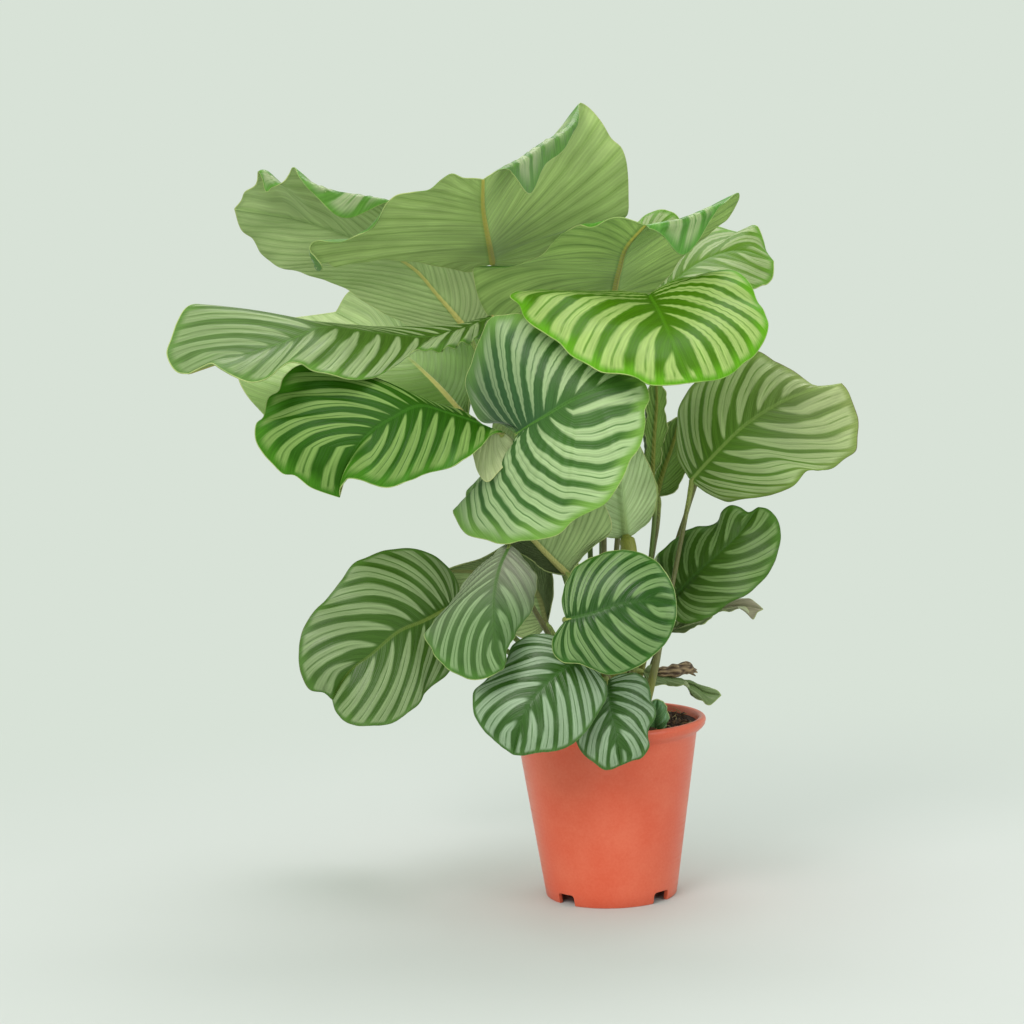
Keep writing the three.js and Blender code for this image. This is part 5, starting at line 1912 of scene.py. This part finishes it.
@dataclass
class DriedCurl:
    """Dead piece of a small leaf that has rolled up on top of it."""

    spine: tuple[Point, ...] = (
        (33, -19, 144), (39, -18, 144), (45, -16, 144), (51, -13, 145), (56, -10, 142)
    )
    radius: float = 4.4
    turns: float = 1.2
    thickness: float = 0.5
    ragged: float = 1.6  # how far its ends are torn
    rows: int = 60
    columns: int = 40

    def build(self) -> None:
        """Builds the scroll."""
        share = np.linspace(0, 1, self.rows + 1)
        route = Route(list(self.spine))
        along = route.towards(share)
        side = unit(np.cross(along, (0.0, 0.0, 1.0)))
        up = np.cross(side, along)
        round_it = np.linspace(0, 1, self.columns + 1)
        angle = 0.9 + FULL * self.turns * round_it
        girth = self.radius * np.sin(np.pi * (0.1 + 0.78 * share)) ** 0.6 * (1 + 0.12 * np.sin(19 * share))
        crumple = 1 + 0.1 * np.sin(7 * angle[None, :] + 9 * share[:, None]) * np.sin(14 * share)[:, None]
        far = girth[:, None] * (0.4 + 0.6 * round_it[None, :]) * crumple
        torn = self.ragged * np.sin(5 * angle)[None, :] * (share[:, None] ** 6 - (1 - share[:, None]) ** 6)
        points = route.at(share)[:, None] + torn[..., None] * along[:, None]
        points = points + (far * np.cos(angle))[..., None] * side[:, None]
        points = points + (far * np.sin(angle))[..., None] * up[:, None]
        skin = DriedSkin("withered_leaf_tissue", "#3d2c1b", "#94805e").material()
        faces = grid_faces(self.rows + 1, self.columns + 1)
        piece = mesh_object("dried_curl", points.reshape(-1, 3), faces, [skin])
        thick = piece.modifiers.new("thickness", "SOLIDIFY")
        thick.thickness, thick.offset = self.thickness * MM, 0.0
        make_plain(piece)
        settle(piece)


# ------------------------------------------------------------------ studio


class Lamp(NamedTuple):
    """A soft square light: where it hangs and what it looks at, in m, its width in m and its power."""

    name: str
    place: Point
    aim: Point
    size: float
    watts: float
    tint: str


@dataclass
class Studio:
    """Plain pale surroundings, soft lights and the camera at the photograph's view."""

    backdrop: str = "#d8e2d7"
    lens: float = 71.44
    place: Point = (-56.0, -1290.0, 334.0)
    pitch: float = 3.85  # degrees down
    roll: float = -1.9
    floor_reach: float = 9000.0
    floor_sides: int = 96
    lamps: tuple[Lamp, ...] = (
        Lamp("key", (-0.9, -1.5, 1.5), (-0.04, 0.0, 0.28), 0.9, 24.0, "#fff4f8"),
        Lamp("fill", (1.5, -1.1, 0.8), (-0.04, 0.0, 0.25), 1.2, 8.2, "#fcf2ff"),
        Lamp("above", (0.1, 0.5, 1.7), (-0.04, 0.0, 0.3), 1.0, 14.0, "#fff6fc"),
        Lamp("low", (-0.3, -1.1, 0.12), (0.0, 0.0, 0.06), 0.3, 1.6, "#fff4f8"),
    )

    def camera(self) -> None:
        """Sets the camera."""
        pitch, roll = math.radians(self.pitch), math.radians(self.roll)
        forward = Vector((0, math.cos(pitch), -math.sin(pitch)))
        right, up = Vector((1, 0, 0)), Vector((0, math.sin(pitch), math.cos(pitch)))
        across = math.cos(roll) * right + math.sin(roll) * up
        upward = -math.sin(roll) * right + math.cos(roll) * up
        data = bpy.data.cameras.new("view")
        data.lens, data.sensor_width, data.clip_start, data.clip_end = self.lens, 36.0, 0.01, 50.0
        camera = bpy.data.objects.new("view", data)
        turned = Matrix((across, upward, -forward)).transposed().to_4x4()
        camera.matrix_world = Matrix.Translation(Vector(self.place) * MM) @ turned
        bpy.context.scene.collection.objects.link(camera)
        bpy.context.scene.camera = camera

    def hang(self, lamp: Lamp) -> None:
        """Hangs one soft light.

        Args:
            lamp: The light.
        """
        data = bpy.data.lights.new(lamp.name, "AREA")
        data.size, data.energy, data.color = lamp.size, lamp.watts, linear(lamp.tint)[:3]
        light = bpy.data.objects.new(lamp.name, data)
        light.location = lamp.place
        light.rotation_mode = "QUATERNION"
        light.rotation_quaternion = (Vector(lamp.aim) - Vector(lamp.place)).to_track_quat("-Z", "Y")
        bpy.context.scene.collection.objects.link(light)

    def floor(self) -> None:
        """Lays a pale floor that runs into the backdrop's colour further out."""
        paint = Paint("studio_floor")
        add = paint.add
        fade = add(Kind.STEP, add(Kind.VECTOR_LENGTH, add(Kind.OBJECT_PLACE)), 0.12, 0.9)
        near = add(Kind.PRINCIPLED, Base_Color=linear("#c2c8c4"), Roughness=0.9)
        glow = add(Kind.GLOW, Color=linear(self.backdrop), Strength=1.0)
        add(Kind.SURFACE, Surface=add(Kind.MIX_SHADER, fade, near, glow))
        level = -0.05
        edge = [(x, y, level) for x, y in circle(self.floor_reach, self.floor_sides)]
        faces = [[0, 1 + k, 1 + (k + 1) % self.floor_sides] for k in range(self.floor_sides)]
        mesh_object("studio_floor", np.array([(0.0, 0.0, level), *edge]), faces, [paint.material])

    def build(self) -> None:
        """Sets up the studio."""
        scene = bpy.context.scene
        scene.view_settings.view_transform = "Standard"
        scene.world = bpy.data.worlds.new("studio")
        scene.world.use_nodes = True
        sky = Nodes(scene.world.node_tree)
        sky.tree.nodes.clear()
        sky.add(Kind.WORLD, Surface=sky.add(Kind.SKY, Color=linear(self.backdrop), Strength=1.0))
        self.camera()
        for lamp in self.lamps:
            self.hang(lamp)
        self.floor()
        log.info("studio ready")


def main() -> None:
    """Builds the plant over the frame, piece by piece."""
    logging.basicConfig(level=logging.INFO, format="%(name)s %(message)s")
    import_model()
    pot = Pot()
    Studio().build()
    pot.build()
    Soil(pot).build()
    Stems().build()
    for leaf in LEAVES:
        Blade(leaf).build()
    DriedCurl().build()


if __name__ == "__main__":
    main()
